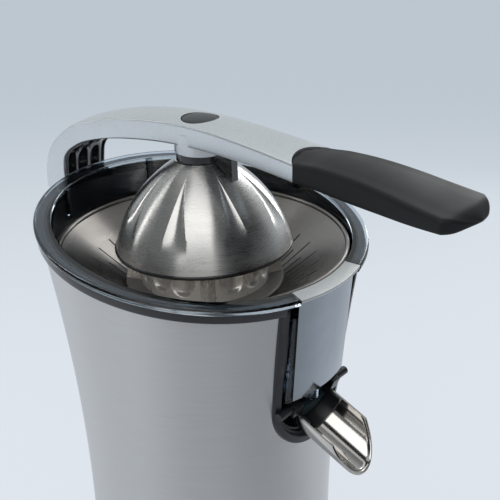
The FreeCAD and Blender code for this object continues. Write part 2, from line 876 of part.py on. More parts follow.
def strainer():
    """Conical steel strainer with a rolled rim and three staggered rows of arc slots."""
    rim = below_rim(S.strainer_drop)
    knee = below_rim(S.strainer_knee_drop)
    floor = below_rim(S.strainer_floor_drop)
    sheet_wall = S.strainer_sheet
    hole = S.strainer_hole
    edge = S.strainer_radius - S.strainer_roll / 2
    cone = turned("strainer_cone", (
        (edge, rim), (S.strainer_knee, knee), (S.strainer_knee - S.strainer_roll, floor + sheet_wall),
        (hole + sheet_wall, floor + sheet_wall), (hole + sheet_wall, floor + S.strainer_hole_lip),
        (hole, floor + S.strainer_hole_lip), (hole, floor), (S.strainer_knee - S.strainer_roll, floor),
        (S.strainer_knee, knee - sheet_wall), (edge, rim - sheet_wall),
    ))
    roll = turned("strainer_roll_ring", (
        (S.strainer_radius + S.strainer_roll, rim, S.strainer_roll),
        (S.strainer_radius, rim + S.strainer_roll, S.strainer_roll),
        (S.strainer_radius - S.strainer_roll, rim, S.strainer_roll),
        (S.strainer_radius, rim - S.strainer_roll, S.strainer_roll),
    ))
    half_arc = math.radians(mm(S.slot_arc) / 2)
    depth = mm(S.strainer_drop + S.strainer_floor_drop)
    slots = []
    for row in range(int(mm(S.slot_rows))):
        inner = mm(S.slot_first + S.slot_pitch * row)
        outer = inner + mm(S.slot_width)
        step = 2 * math.pi / mm(S.slot_count)
        for index in range(int(mm(S.slot_count))):
            middle = step * (index + 0.5 * (row % 2))
            turns = (middle - half_arc, middle, middle + half_arc)
            inside, outside = ([Vector(radius * math.cos(turn), radius * math.sin(turn), mm(floor))
                                for turn in turns] for radius in (inner, outer))
            edges = [
                Part.Arc(*inside).toShape(), Part.makeLine(inside[2], outside[2]),
                Part.Arc(*outside).toShape(), Part.makeLine(outside[0], inside[0]),
            ]
            slots.append(Part.Face(Part.Wire(Part.__sortEdges__(edges))).extrude(Vector(0, 0, depth)))
    slot_room = shaped("strainer_slots", Part.makeCompound(slots))
    bowl = fuse("strainer_bowl", cone, roll)
    cut("strainer", bowl, slot_room)


def reamer():
    """Reamer with sharp fins and scooped flanks, its skirt and the pressed drive shaft."""
    base = below_rim(S.reamer_drop)
    tip = above_rim(S.reamer_tip)
    band = base + S.reamer_band
    hub_low = below_rim(S.reamer_hub_drop)
    shaft_top = below_rim(S.shaft_top_drop)
    bore = S.shaft_radius + S.run_gap
    body = turned("reamer_blank", (
        (bore, hub_low), (S.reamer_hub, hub_low), (S.reamer_hub, base), (S.reamer_radius, base),
        (S.reamer_radius - S.reamer_taper, band, S.reamer_arc), (0, tip), (0, shaft_top + S.run_gap),
        (bore, shaft_top + S.run_gap),
    ))
    cavity = turned("reamer_cavity", (
        (S.reamer_hub, base), (S.reamer_radius - S.reamer_wall, base),
        (S.reamer_radius - S.reamer_taper - S.reamer_wall * 1.3, band),
        (S.reamer_hub, tip - S.reamer_wall * 3),
    ))
    doc.recompute()
    fins = []
    scoops = []
    fin_step = 2 * math.pi / mm(S.fin_count)
    inner = mm(S.reamer_radius - S.scoop_radius)
    scoop_place = Vector(mm(S.scoop_out), 0, mm(below_rim(S.scoop_drop)))
    for index in range(int(mm(S.fin_count))):
        turn = math.degrees(fin_step * index) + mm(S.fin_turn)
        blade = polygon([Vector(inner, -mm(S.fin_half), mm(base)), Vector(mm(S.fin_reach), 0, mm(base)),
                         Vector(inner, mm(S.fin_half), mm(base))])
        fin = Part.Face(blade).extrude(Vector(0, 0, mm(S.reamer_band)))
        fin.rotate(Vector(0, 0, 0), Vector(0, 0, 1), turn)
        fins.append(fin)
        for share in range(1, int(mm(S.scoops_between)) + 1):
            ball = Part.makeSphere(mm(S.scoop_radius), scoop_place)
            ball_turn = turn + math.degrees(fin_step) * share / (mm(S.scoops_between) + 1)
            ball.rotate(Vector(0, 0, 0), Vector(0, 0, 1), ball_turn)
            scoops.append(ball)
    shape = body.Shape.cut(scoops + [cavity.Shape]).fuse(fins).removeSplitter()
    shaped("reamer", shape)

    skirt_low = base - S.skirt_thick - S.run_gap
    ring("reamer_skirt", S.skirt_radius, S.reamer_hub + S.run_gap, skirt_low, base - S.run_gap)

    shaft = turned("shaft_blank", (
        (0, S.shaft_hex_top), (S.shaft_radius, S.shaft_hex_top), (S.shaft_radius, S.spring_seat),
        (S.spring_collar_radius, S.spring_seat),
        (S.spring_collar_radius, S.spring_seat + S.spring_collar),
        (S.shaft_radius, S.spring_seat + S.spring_collar), (S.shaft_radius, shaft_top), (0, shaft_top),
    ))
    hex_bar = hexagon("shaft_hex_bar", S.shaft_hex, S.shaft_bottom, S.shaft_hex_top)
    fuse("drive_shaft", shaft, hex_bar)


def hexagon(label, across, low, high):
    """Upright hexagonal bar, given across its flats."""
    radius = Dim.of(across) / math.sqrt(3)
    corners = [(radius * math.cos(math.radians(60 * side)), radius * math.sin(math.radians(60 * side)))
               for side in range(6)]
    return prism(label, "XY_Plane", corners, low, Dim.of(high) - low)


def dome_frame():
    """Frame at the middle of the press dome's lower edge, lifted a little at the grip's side."""
    return Placement(Vector(0, 0, mm(below_rim(S.dome_drop))), Rotation(Vector(0, 1, 0), -mm(S.dome_tilt)))


def dome_face(inset, low):
    """Half section of the dome, shrunk by an inset, from a level up to its flat top."""
    radius = mm(S.dome_radius)
    height = mm(S.dome_height)
    flat = mm(S.dome_flat)
    bow = arc_between(Vector(radius, 0, 0), Vector(flat, height, 0), mm(S.dome_arc))
    centre = Vector(bow.Center.x, 0, bow.Center.y)
    inner = mm(S.dome_arc) - inset
    top = height - inset
    foot_x = centre.x + math.sqrt(inner ** 2 - (low - centre.z) ** 2)
    top_x = centre.x + math.sqrt(inner ** 2 - (top - centre.z) ** 2)
    start = Vector(foot_x, 0, low)
    end = Vector(top_x, 0, top)
    turn = [math.atan2(point.z - centre.z, point.x - centre.x) for point in (start, end)]
    middle = centre + Vector(math.cos(sum(turn) / 2), 0, math.sin(sum(turn) / 2)) * inner
    edges = [
        Part.makeLine(Vector(0, 0, low), start), Part.Arc(start, middle, end).toShape(),
        Part.makeLine(end, Vector(0, 0, top)), Part.makeLine(Vector(0, 0, top), Vector(0, 0, low)),
    ]
    return Part.Face(Part.Wire(edges)), centre


def dome():
    """Fluted press dome with its gasket, hub and stud."""
    axis = (Vector(0, 0, 0), Vector(0, 0, 1), 360)
    outer_face, centre = dome_face(0.0, 0.0)
    outer = outer_face.revolve(*axis)
    inner_face, _ = dome_face(mm(S.dome_wall), -mm(S.dome_wall))
    inner = inner_face.revolve(*axis)
    path_radius = mm(S.dome_arc + S.flute_radius - S.flute_depth)
    low_turn = math.asin((mm(S.flute_low) - centre.z) / path_radius)
    high_turn = math.asin((mm(S.dome_height) - mm(S.flute_depth) - centre.z) / path_radius)
    spots = [centre + Vector(math.cos(turn), 0, math.sin(turn)) * path_radius
             for turn in (low_turn, (low_turn + high_turn) / 2, high_turn)]
    path = Part.Wire([Part.Arc(*spots).toShape()])
    across = Vector(-math.sin(low_turn), 0, math.cos(low_turn))
    profile = Part.Wire([Part.makeCircle(mm(S.flute_radius), spots[0], across)])
    flute = path.makePipeShell([profile], True, False)
    foot = Part.makeSphere(mm(S.flute_radius), spots[0])
    flutes = []
    count = int(mm(S.flute_count))
    for index in range(count):
        for tool in (flute, foot):
            item = tool.copy()
            item.rotate(Vector(0, 0, 0), Vector(0, 0, 1), 360 * (index + 0.5) / count)
            flutes.append(item)
    stud_hole = Part.makeCylinder(mm(S.stud_radius), mm(S.dome_height) * 2)
    shaped("press_dome", outer.cut(inner).cut(flutes).cut(stud_hole), dome_frame())

    gasket_in = mm(S.dome_radius - S.gasket_width)
    gasket_out = mm(S.dome_radius + S.seat_gap)
    rim = Part.makeCylinder(gasket_out, mm(S.gasket_height), Vector(0, 0, -mm(S.gasket_height)))
    hole = Part.makeCylinder(gasket_in, mm(S.gasket_height), Vector(0, 0, -mm(S.gasket_height)))
    bead = rim.cut(hole)
    bead_edges = [edge for edge in bead.Edges
                  if edge.Curve.TypeId == "Part::GeomCircle" and edge.Curve.Radius > mm(S.dome_radius)]
    bead = bead.makeFillet(mm(S.gasket_height) / 3, bead_edges)
    shaped("dome_gasket", bead, dome_frame())

    hub_high = mm(S.dome_drop + S.hub_rise)
    hub = Part.makeCylinder(mm(S.hub_radius), mm(S.hub_depth), Vector(0, 0, hub_high - mm(S.hub_depth)))
    nut_low = mm(S.dome_height - S.dome_wall - S.nut_height)
    nut = Part.makeCylinder(mm(S.nut_radius), mm(S.nut_height), Vector(0, 0, nut_low))
    stud_length = hub_high - mm(S.stud_short) - nut_low
    stud = Part.makeCylinder(mm(S.stud_radius - S.run_gap), stud_length, Vector(0, 0, nut_low))
    shaped("dome_stud", stud.fuse(nut).removeSplitter(), dome_frame())
    shaped("dome_hub", hub.cut([outer, stud_hole]), dome_frame())


def arm():
    """Lever arm, its inner cover, the grip and the dome's release button."""
    edge = mm(S.rim_radius)
    sections = [(over_rim(-edge - low_out, low_z), over_rim(-edge - high_out, high_z), half)
                for low_out, low_z, high_out, high_z, half in ARM_REAR]
    sections += [(over_rim(low_x, low_z), over_rim(high_x, high_z), half)
                 for low_x, low_z, high_x, high_z, half in ARM_SPAN]
    crown = mm(S.arm_crown)
    corner = mm(S.arm_corner)
    beam = Part.makeLoft([section_wire(*section, crown, corner) for section in sections], True, False)
    hinge = Vector(-mm(hinge_x()), -mm(S.knuckle_half), mm(below_rim(S.hinge_drop)))
    knuckle = Part.makeCylinder(mm(S.knuckle_radius), mm(S.knuckle_half) * 2, hinge, Vector(0, 1, 0))
    front, rear, _ = sections[0]
    tongue = Part.makeBox(front.x - rear.x, mm(S.knuckle_half) * 2, front.z + LAP - hinge.z,
                          Vector(hinge.x - mm(S.knuckle_radius), -mm(S.knuckle_half), hinge.z))
    boss_slope = math.sin(math.radians(mm(S.dome_tilt)))
    boss_low = mm(above_rim(S.hub_rise) + S.run_gap + S.boss_radius * boss_slope)
    boss_high = mm(above_rim(S.button_rise - S.boss_sink))
    boss = Part.makeCylinder(mm(S.boss_radius), boss_high - boss_low, Vector(0, 0, boss_low))
    tang_start = mm(S.grip_start - S.tang_lap)
    tang = Part.makeBox(mm(S.tang_end) - tang_start, mm(S.tang_half) * 2, mm(S.tang_high - S.tang_low),
                        Vector(tang_start, -mm(S.tang_half), mm(above_rim(S.tang_low))))
    grip_centre = mm(S.grip_start + S.grip_arc)
    grip_room = Part.makeCylinder(mm(S.grip_arc), THROUGH, Vector(grip_centre, 0, mm(S.rim_height)))
    button_top = mm(above_rim(S.button_rise))
    recess_low = button_top - mm(S.button_thick + S.button_travel + S.seat_gap)
    recess = Part.makeCylinder(mm(S.button_radius + S.button_room), THROUGH, Vector(0, 0, recess_low))
    stem_bore = Part.makeCylinder(mm(S.button_stem + S.run_gap), THROUGH, Vector(0, 0, mm(S.rim_height)))
    pin_bore = Part.makeCylinder(mm(S.hinge_pin + S.run_gap), THROUGH, hinge - Vector(0, THROUGH / 2, 0),
                                 Vector(0, 1, 0))
    casting = beam.cut(grip_room).fuse([knuckle, tongue, boss]).fuse(tang)
    shaped("arm_casting", casting.cut([recess, stem_bore, pin_bore]).removeSplitter())

    cover_wires = []
    for lower, upper, half in sections:
        up = (upper - lower).normalize()
        cover_wires.append(section_wire(lower - up * mm(S.cover_thick), lower + up * LAP * 2,
                                        half - mm(S.cover_inset), crown, mm(S.cover_thick) / 3))
    rear_room = Part.makeBox(THROUGH, THROUGH, THROUGH, Vector(-THROUGH - mm(S.cover_end), -THROUGH / 2, 0))
    cover = Part.makeLoft(cover_wires, True, False).cut(beam)
    shaped("arm_inner_cover", cover.common(rear_room))

    grip_wires = [section_wire(over_rim(x, low), over_rim(x, high), half, mm(S.grip_crown), mm(S.grip_corner))
                  for x, low, high, half in GRIP_SECTIONS]
    loft = Part.makeLoft(grip_wires, True, False)
    tip_half = mm(S.grip_tip_half)
    tip = arc_between(Vector(mm(S.grip_tip), -tip_half, 0), Vector(mm(S.grip_tip), tip_half, 0),
                      mm(S.grip_tip_arc))
    tail_half = sections[-1][2]
    tail_arc = mm(S.grip_arc - S.slide_gap)
    tail_x = grip_centre - math.sqrt(tail_arc ** 2 - tail_half ** 2)
    tail = arc_between(Vector(tail_x, tail_half, 0), Vector(tail_x, -tail_half, 0), tail_arc)
    wide = tip_half * 1.2
    spots = [Vector(tail_x, -tail_half, 0), Vector(tail_x, -wide, 0), Vector(mm(S.grip_tip), -wide, 0),
             Vector(mm(S.grip_tip), -tip_half, 0)]
    mirror = [Vector(spot.x, -spot.y, 0) for spot in reversed(spots)]
    edges = [Part.makeLine(first, last) for first, last in zip(spots, spots[1:])]
    edges.append(tip.toShape())
    edges += [Part.makeLine(first, last) for first, last in zip(mirror, mirror[1:])]
    edges.append(tail.toShape())
    plan = Part.Face(Part.Wire(Part.__sortEdges__(edges))).extrude(Vector(0, 0, THROUGH))
    plan.translate(Vector(0, 0, mm(S.rim_height)))
    gap = mm(S.slide_gap)
    tang_room = Part.makeBox(tang.BoundBox.XLength + gap, tang.BoundBox.YLength + 2 * gap,
                             tang.BoundBox.ZLength + 2 * gap,
                             Vector(tang.BoundBox.XMin, tang.BoundBox.YMin - gap, tang.BoundBox.ZMin - gap))
    shaped("grip", loft.common(plan).cut(tang_room))

    cap_low = button_top - mm(S.button_thick)
    stem_low = mm(above_rim(S.hub_rise + S.button_travel + S.button_stem_gap))
    cap = Part.makeCylinder(mm(S.button_radius), mm(S.button_thick), Vector(0, 0, cap_low))
    top_edges = [edge for edge in cap.Edges if edge.BoundBox.ZMin > cap_low + mm(S.button_crown)]
    cap = cap.makeFillet(mm(S.button_crown), top_edges)
    stem = Part.makeCylinder(mm(S.button_stem), cap_low + LAP - stem_low, Vector(0, 0, stem_low))
    shaped("release_button", cap.fuse(stem).removeSplitter())


def chute():
    """Tilting half-pipe chute with its carrier, drip stopper and pivot pins."""
    frame = chute_frame()
    outer = mm(S.chute_radius)
    inner = outer - mm(S.chute_sheet)

    def half_pipe(big, small, start, end):
        pipe = Part.makeCylinder(big, end - start, Vector(start, 0, 0), Vector(1, 0, 0))
        if small:
            pipe = pipe.cut(Part.makeCylinder(small, end - start, Vector(start, 0, 0), Vector(1, 0, 0)))
        lower = Part.makeBox(end - start, 2 * big, big, Vector(start, -big, -big))
        return pipe.common(lower)

    back = -mm(S.chute_back)
    tip = mm(S.chute_tip)
    top = mm(S.chute_top)
    lip_cut = polygon([Vector(top, -outer, LAP), Vector(top, -outer, 0), Vector(tip, -outer, -outer),
                       Vector(tip * 2, -outer, -outer), Vector(tip * 2, -outer, LAP)])
    lip_room = Part.Face(lip_cut).extrude(Vector(0, 2 * outer, 0))
    shaped("chute", half_pipe(outer, inner, back, tip).cut(lip_room), frame)

    gap = mm(S.run_gap)
    liner_out = inner - gap
    liner_in = liner_out - mm(S.carrier_thick)
    liner = half_pipe(liner_out, liner_in, back, mm(S.carrier_length))
    wall = half_pipe(liner_out, 0, back, back + mm(S.carrier_thick))
    ears = []
    reach = mm(S.ear_reach)
    for start in (liner_in, -reach):
        ear = Part.makeBox(2 * mm(S.ear_half), reach - liner_in, mm(S.ear_rise) - gap,
                           Vector(-mm(S.ear_half), start, gap))
        ears.append(ear)
    feet = [Part.makeBox(mm(S.ear_half) - back, mm(S.carrier_thick), 2 * gap, Vector(back, start, -gap))
            for start in (liner_in, -liner_out)]
    pin_room = Part.makeCylinder(mm(S.pivot_radius + S.run_gap), 4 * outer,
                                 Vector(0, -2 * outer, mm(S.pivot_rise)), Vector(0, 1, 0))
    carrier = liner.fuse([wall] + ears + feet).cut(pin_room).removeSplitter()
    shaped("chute_carrier", carrier, frame)
    start = back + mm(S.carrier_thick) + gap
    stopper = half_pipe(mm(S.stopper_radius), 0, start, start + mm(S.stopper_thick))
    shaped("drip_stopper", stopper, frame)
    chute_pin_shape("chute_pins", S.pivot_radius)


def motor_place():
    """Motor axis: one mesh away from the lay pin."""
    reach = S.fast_module * (S.pinion_teeth + S.lay_teeth) / 2
    turn = math.radians(mm(S.lay_angle))
    return reach * math.cos(turn) - S.lay_x, reach * math.sin(turn)


def gear_train():
    """Two-stage gear train in its case, with pins, bushes and posts."""
    floor = S.gearbox_floor + S.gearbox_plate
    roof = floor + S.gearbox_room
    lid = roof + S.gearbox_lid
    motor_x, motor_y = motor_place()
    hub_out = S.output_hub + S.output_bush_wall
    plate = disc("gearbox_plate_blank", S.gearbox_radius, S.gearbox_floor, floor)
    hub_hole = disc("hub_hole_low", hub_out, S.gearbox_floor - S.gearbox_plate, roof)
    shaft_hole = disc("motor_bush_hole", S.motor_bush, S.gearbox_floor - S.gearbox_plate, roof,
                      motor_x, motor_y)
    pin_hole = disc("lay_pin_hole", S.lay_pin_radius, S.gearbox_floor - S.gearbox_plate, lid + S.gearbox_lid,
                    -S.lay_x)
    base_top = S.shell_bottom + S.base_thickness
    post = disc("post_form", S.post_radius, base_top, S.gearbox_floor)
    copies("gearbox_posts", post, POSTS)
    screw = turned("gear_screw_form", (
        (0, floor - S.gearbox_plate / 2), (S.gear_screw_radius, floor - S.gearbox_plate / 2),
        (S.gear_screw_radius, lid), (S.gear_screw_radius * 2, lid),
        (S.gear_screw_radius * 2, lid + S.gear_screw_radius), (0, lid + S.gear_screw_radius),
    ))
    spots = circle_spots(S.gearbox_radius - S.gearbox_wall - S.gear_screw_radius * 1.5,
                         S.gear_screw_count, S.gear_screw_turn)
    screws = copies("gearbox_screws", screw, spots)
    tower = disc("tower_form", S.gear_screw_radius * 2, floor, lid)
    towers = copies("gearbox_towers", tower, spots)
    cut("gearbox_base", plate, hub_hole, shaft_hole, pin_hole, screws)
    cover = turned("gearbox_cover_blank", (
        (0, roof), (S.gearbox_radius - S.gearbox_wall, roof), (S.gearbox_radius - S.gearbox_wall, floor),
        (S.gearbox_radius, floor), (S.gearbox_radius, lid), (0, lid),
    ))
    hub_hole_high = disc("hub_hole_high", hub_out, roof - S.gearbox_lid, lid + S.gearbox_lid)
    cover_body = fuse("cover_body", cover, towers)
    cut("gearbox_cover", cover_body, hub_hole_high, pin_hole, screws)
    disc("lay_pin", S.lay_pin_radius, S.gearbox_floor, lid, -S.lay_x)

    low_bush = ring("bush_low", hub_out, S.output_hub + S.run_gap, S.gearbox_floor, floor)
    high_bush = ring("bush_high", hub_out, S.output_hub + S.run_gap, roof, lid)
    doc.recompute()
    shaped("output_bushes", Part.makeCompound([low_bush.Shape.copy(), high_bush.Shape.copy()]))

    motor = Vector(mm(motor_x), mm(motor_y), 0)
    lay = Vector(-mm(S.lay_x), 0, 0)
    to_lay = math.atan2(lay.y - motor.y, lay.x - motor.x)
    pinion_teeth = int(mm(S.pinion_teeth))
    lay_teeth = int(mm(S.lay_teeth))
    lay_pinion_teeth = int(mm(S.lay_pinion_teeth))
    output_teeth = int(mm(S.output_teeth))
    fast, slow = mm(S.fast_module), mm(S.slow_module)
    fast_width, slow_width = mm(S.fast_width), mm(S.slow_width)
    gap = mm(S.run_gap)

    def bore(radius, x, y):
        return Part.makeCylinder(radius, THROUGH, Vector(x, y, 0))

    pinion = gear_solid(pinion_teeth, fast, mm(S.fast_width + S.pinion_extra), to_lay)
    pinion.translate(motor + Vector(0, 0, mm(S.fast_level)))
    shaped("motor_pinion", pinion.cut(bore(mm(S.motor_shaft), motor.x, motor.y)))
    lay_gear = gear_solid(lay_teeth, fast, fast_width, to_lay + math.pi + math.pi / lay_teeth)
    lay_gear.translate(lay + Vector(0, 0, mm(S.fast_level)))
    shaped("lay_gear", lay_gear.cut(bore(mm(S.lay_pin_radius) + gap, lay.x, lay.y)))
    lay_pinion_low = mm(S.fast_level) + fast_width
    lay_pinion_high = mm(S.slow_level + S.slow_width + S.pinion_extra)
    lay_pinion = gear_solid(lay_pinion_teeth, slow, lay_pinion_high - lay_pinion_low, 0)
    lay_pinion.translate(lay + Vector(0, 0, lay_pinion_low))
    shaped("lay_pinion", lay_pinion.cut(bore(mm(S.lay_pin_radius) + gap, lay.x, lay.y)))
    output = gear_solid(output_teeth, slow, slow_width, math.pi + math.pi / output_teeth)
    output.translate(Vector(0, 0, mm(S.slow_level)))
    hub_low = mm(S.gearbox_floor)
    hub = Part.makeCylinder(mm(S.output_hub), mm(lid) - hub_low, Vector(0, 0, hub_low))
    hex_room = hexagon("output_hex_room", S.shaft_hex + S.slide_gap, S.gearbox_floor / 2, S.spring_seat)
    doc.recompute()
    shaped("output_gear", output.fuse(hub).cut(hex_room.Shape).removeSplitter())

    spring_low = mm(lid) + mm(S.spring_wire) + gap
    spring_high = mm(S.spring_seat) - mm(S.spring_wire) - gap
    pitch = (spring_high - spring_low) / mm(S.spring_turns)
    helix = Part.makeHelix(pitch, spring_high - spring_low, mm(S.spring_radius))
    wire = Part.Wire([Part.makeCircle(mm(S.spring_wire), Vector(mm(S.spring_radius), 0, 0), Vector(0, 1, 0))])
    coil = Part.Wire(helix).makePipeShell([wire], True, True)
    coil.translate(Vector(0, 0, spring_low))
    shaped("return_spring", coil)


def motor():
    """Upright motor: can, stator, coils, bushes, rotor, shaft and fan."""
    x, y = motor_place()
    bottom = S.motor_bottom
    top = S.gearbox_floor
    inner = S.motor_radius - S.can_wall
    turned("motor_can", (
        (S.motor_bush, bottom), (S.motor_radius, bottom), (S.motor_radius, top), (inner, top),
        (inner, bottom + S.can_wall), (S.motor_bush + S.can_wall, bottom + S.can_wall),
        (S.motor_bush + S.can_wall, bottom + S.motor_bush), (S.motor_bush, bottom + S.motor_bush),
    ), x, y)
    ring("motor_stator", inner, S.stator_bore, S.stator_low, S.stator_high, x, y)
    coil_gap = S.slide_gap
    low_coil = ring("coil_low", inner - S.can_wall, S.coil_bore, S.stator_low - S.coil_height,
                    S.stator_low - coil_gap, x, y)
    high_coil = ring("coil_high", inner - S.can_wall, S.coil_bore, S.stator_high + coil_gap,
                     S.stator_high + S.coil_height, x, y)
    bore = S.motor_shaft + S.run_gap
    low_bush = ring("motor_bush_low", S.motor_bush, bore, bottom, bottom + S.motor_bush, x, y)
    high_bush = ring("motor_bush_high", S.motor_bush, bore, top, top + S.gearbox_plate, x, y)
    doc.recompute()
    shaped("motor_coils", Part.makeCompound([low_coil.Shape.copy(), high_coil.Shape.copy()]))
    shaped("motor_bushes", Part.makeCompound([low_bush.Shape.copy(), high_bush.Shape.copy()]))
    ring("motor_rotor", S.rotor_radius, S.motor_shaft, S.stator_low, S.stator_high, x, y)
    disc("motor_shaft", S.motor_shaft, bottom, S.fast_level + S.fast_width + S.pinion_extra, x, y)

    centre = Vector(mm(x), mm(y), mm(S.fan_level))
    height = mm(S.fan_height)
    hub = Part.makeCylinder(mm(S.fan_hub), height, centre)
    sheet_wall = mm(S.fan_sheet)
    web = Part.makeCylinder(mm(S.fan_radius), sheet_wall, centre)
    blades = []
    count = int(mm(S.fan_blades))
    for index in range(count):
        blade = Part.makeBox(mm(S.fan_radius - S.fan_hub), sheet_wall, height,
                             centre + Vector(mm(S.fan_hub) - LAP, -sheet_wall / 2, 0))
        blade.rotate(centre, Vector(0, 0, 1), 360 * index / count)
        blades.append(blade)
    shaft_room = Part.makeCylinder(mm(S.motor_shaft), THROUGH, Vector(centre.x, centre.y, 0))
    shaped("cooling_fan", hub.fuse([web] + blades).cut(shaft_room).removeSplitter())


def start_switch():
    """Start switch under the gear case, closed by the drive shaft's lower end."""
    low = S.switch_top - S.switch_height
    body = block("switch_blank", -S.switch_offset, S.switch_length - S.switch_offset,
                 S.switch_side - S.switch_width, S.switch_side, low, S.switch_top)
    room_low = S.switch_top - S.plunger_depth - S.press_travel - S.seat_gap
    room = disc("plunger_room", S.plunger_radius + S.run_gap, room_low, S.switch_top + S.switch_height)
    cut("micro_switch", body, room)
    block("switch_bracket", S.switch_length / 2, S.switch_length - S.switch_offset,
          S.switch_side - S.switch_width, S.switch_side, S.switch_top, S.gearbox_floor)
    disc("switch_plunger", S.plunger_radius, S.switch_top - S.plunger_depth, S.shaft_bottom - S.plunger_gap)


NODES = (
    "housing_shell", "collar", "spout_frame", "deck", "base_plate", "foot_ring", "base_screws", "cord_gland",
    "hinge_bracket", "hinge_pin", "juice_bowl", "spout_panel", "spout_cap", "strainer",
    "chute", "chute_carrier", "drip_stopper", "chute_pins",
    "arm_casting", "arm_inner_cover", "grip", "release_button", "dome_hub", "dome_stud", "press_dome",
    "dome_gasket", "reamer", "reamer_skirt", "drive_shaft", "shaft_bush", "shaft_seal", "return_spring",
    "gearbox_base", "gearbox_cover", "gearbox_posts", "gearbox_screws", "output_gear", "output_bushes",
    "lay_gear", "lay_pinion", "lay_pin",
    "motor_can", "motor_stator", "motor_coils", "motor_bushes", "motor_rotor", "motor_shaft", "motor_pinion",
    "cooling_fan", "micro_switch", "switch_bracket", "switch_plunger",
)

housing()
juice_path()
strainer()
reamer()
dome()
arm()
chute()
gear_train()
motor()
start_switch()
doc.recompute()

failed = [item.Label for item in doc.Objects if {"Invalid", "Error"} & set(item.State)]
if failed:
    raise RuntimeError(f"failed objects: {failed}")
parts = {label: doc.getObjectsByLabel(label)[0] for label in NODES}
broken = [label for label, item in parts.items() if item.Shape.isNull() or not item.Shape.isValid()]
if broken:
    raise RuntimeError(f"broken shapes: {broken}")
os.makedirs("parts", exist_ok=True)
for label, item in parts.items():
    item.Shape.exportStep(f"parts/{label}.step")
    print(label, len(item.Shape.Solids), round(item.Shape.Volume, 1))
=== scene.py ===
"""Looks of a lever citrus press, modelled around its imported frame.

Lengths are in metres, and +X is the spout's side.
"""

import logging
import math
from dataclasses import dataclass, field
from enum import Enum
from typing import Callable, Sequence

import bmesh
import bpy
from mathutils import Matrix, Vector


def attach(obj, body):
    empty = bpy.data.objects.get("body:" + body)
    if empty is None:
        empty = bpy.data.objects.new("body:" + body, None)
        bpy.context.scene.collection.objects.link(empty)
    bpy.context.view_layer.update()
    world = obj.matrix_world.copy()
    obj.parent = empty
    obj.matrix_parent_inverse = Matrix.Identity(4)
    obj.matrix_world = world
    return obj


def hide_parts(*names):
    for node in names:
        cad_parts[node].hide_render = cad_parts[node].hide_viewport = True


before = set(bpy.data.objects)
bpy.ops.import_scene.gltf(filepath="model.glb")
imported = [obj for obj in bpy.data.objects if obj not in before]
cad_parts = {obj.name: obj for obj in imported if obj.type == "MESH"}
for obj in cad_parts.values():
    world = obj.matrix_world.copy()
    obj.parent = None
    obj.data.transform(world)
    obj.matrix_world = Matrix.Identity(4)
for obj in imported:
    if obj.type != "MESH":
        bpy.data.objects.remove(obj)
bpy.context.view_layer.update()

LOG = logging.getLogger("citrus_press")

# Edges that bend by more than this many degrees stay crisp, unless a piece says otherwise.
CREASE = 32.0
# Points nearer to each other than this are one point.
MERGE = 1e-6

Colour = tuple[float, float, float]
Place = tuple[float, float, float]
Corner = tuple[float, float, float]
Pair = tuple[float, float]
Socket = bpy.types.NodeSocket
Value = Socket | float
Tone = Socket | Colour
Material = bpy.types.Material
Piece = bpy.types.Object


class Joining(Enum):
    """How a tool changes the solid that it is combined with."""

    CUT = "DIFFERENCE"
    UNITE = "UNION"


def shade(colour: Colour, factor: float) -> Colour:
    """A colour made lighter or darker."""
    return tuple(min(1.0, part * factor) for part in colour)


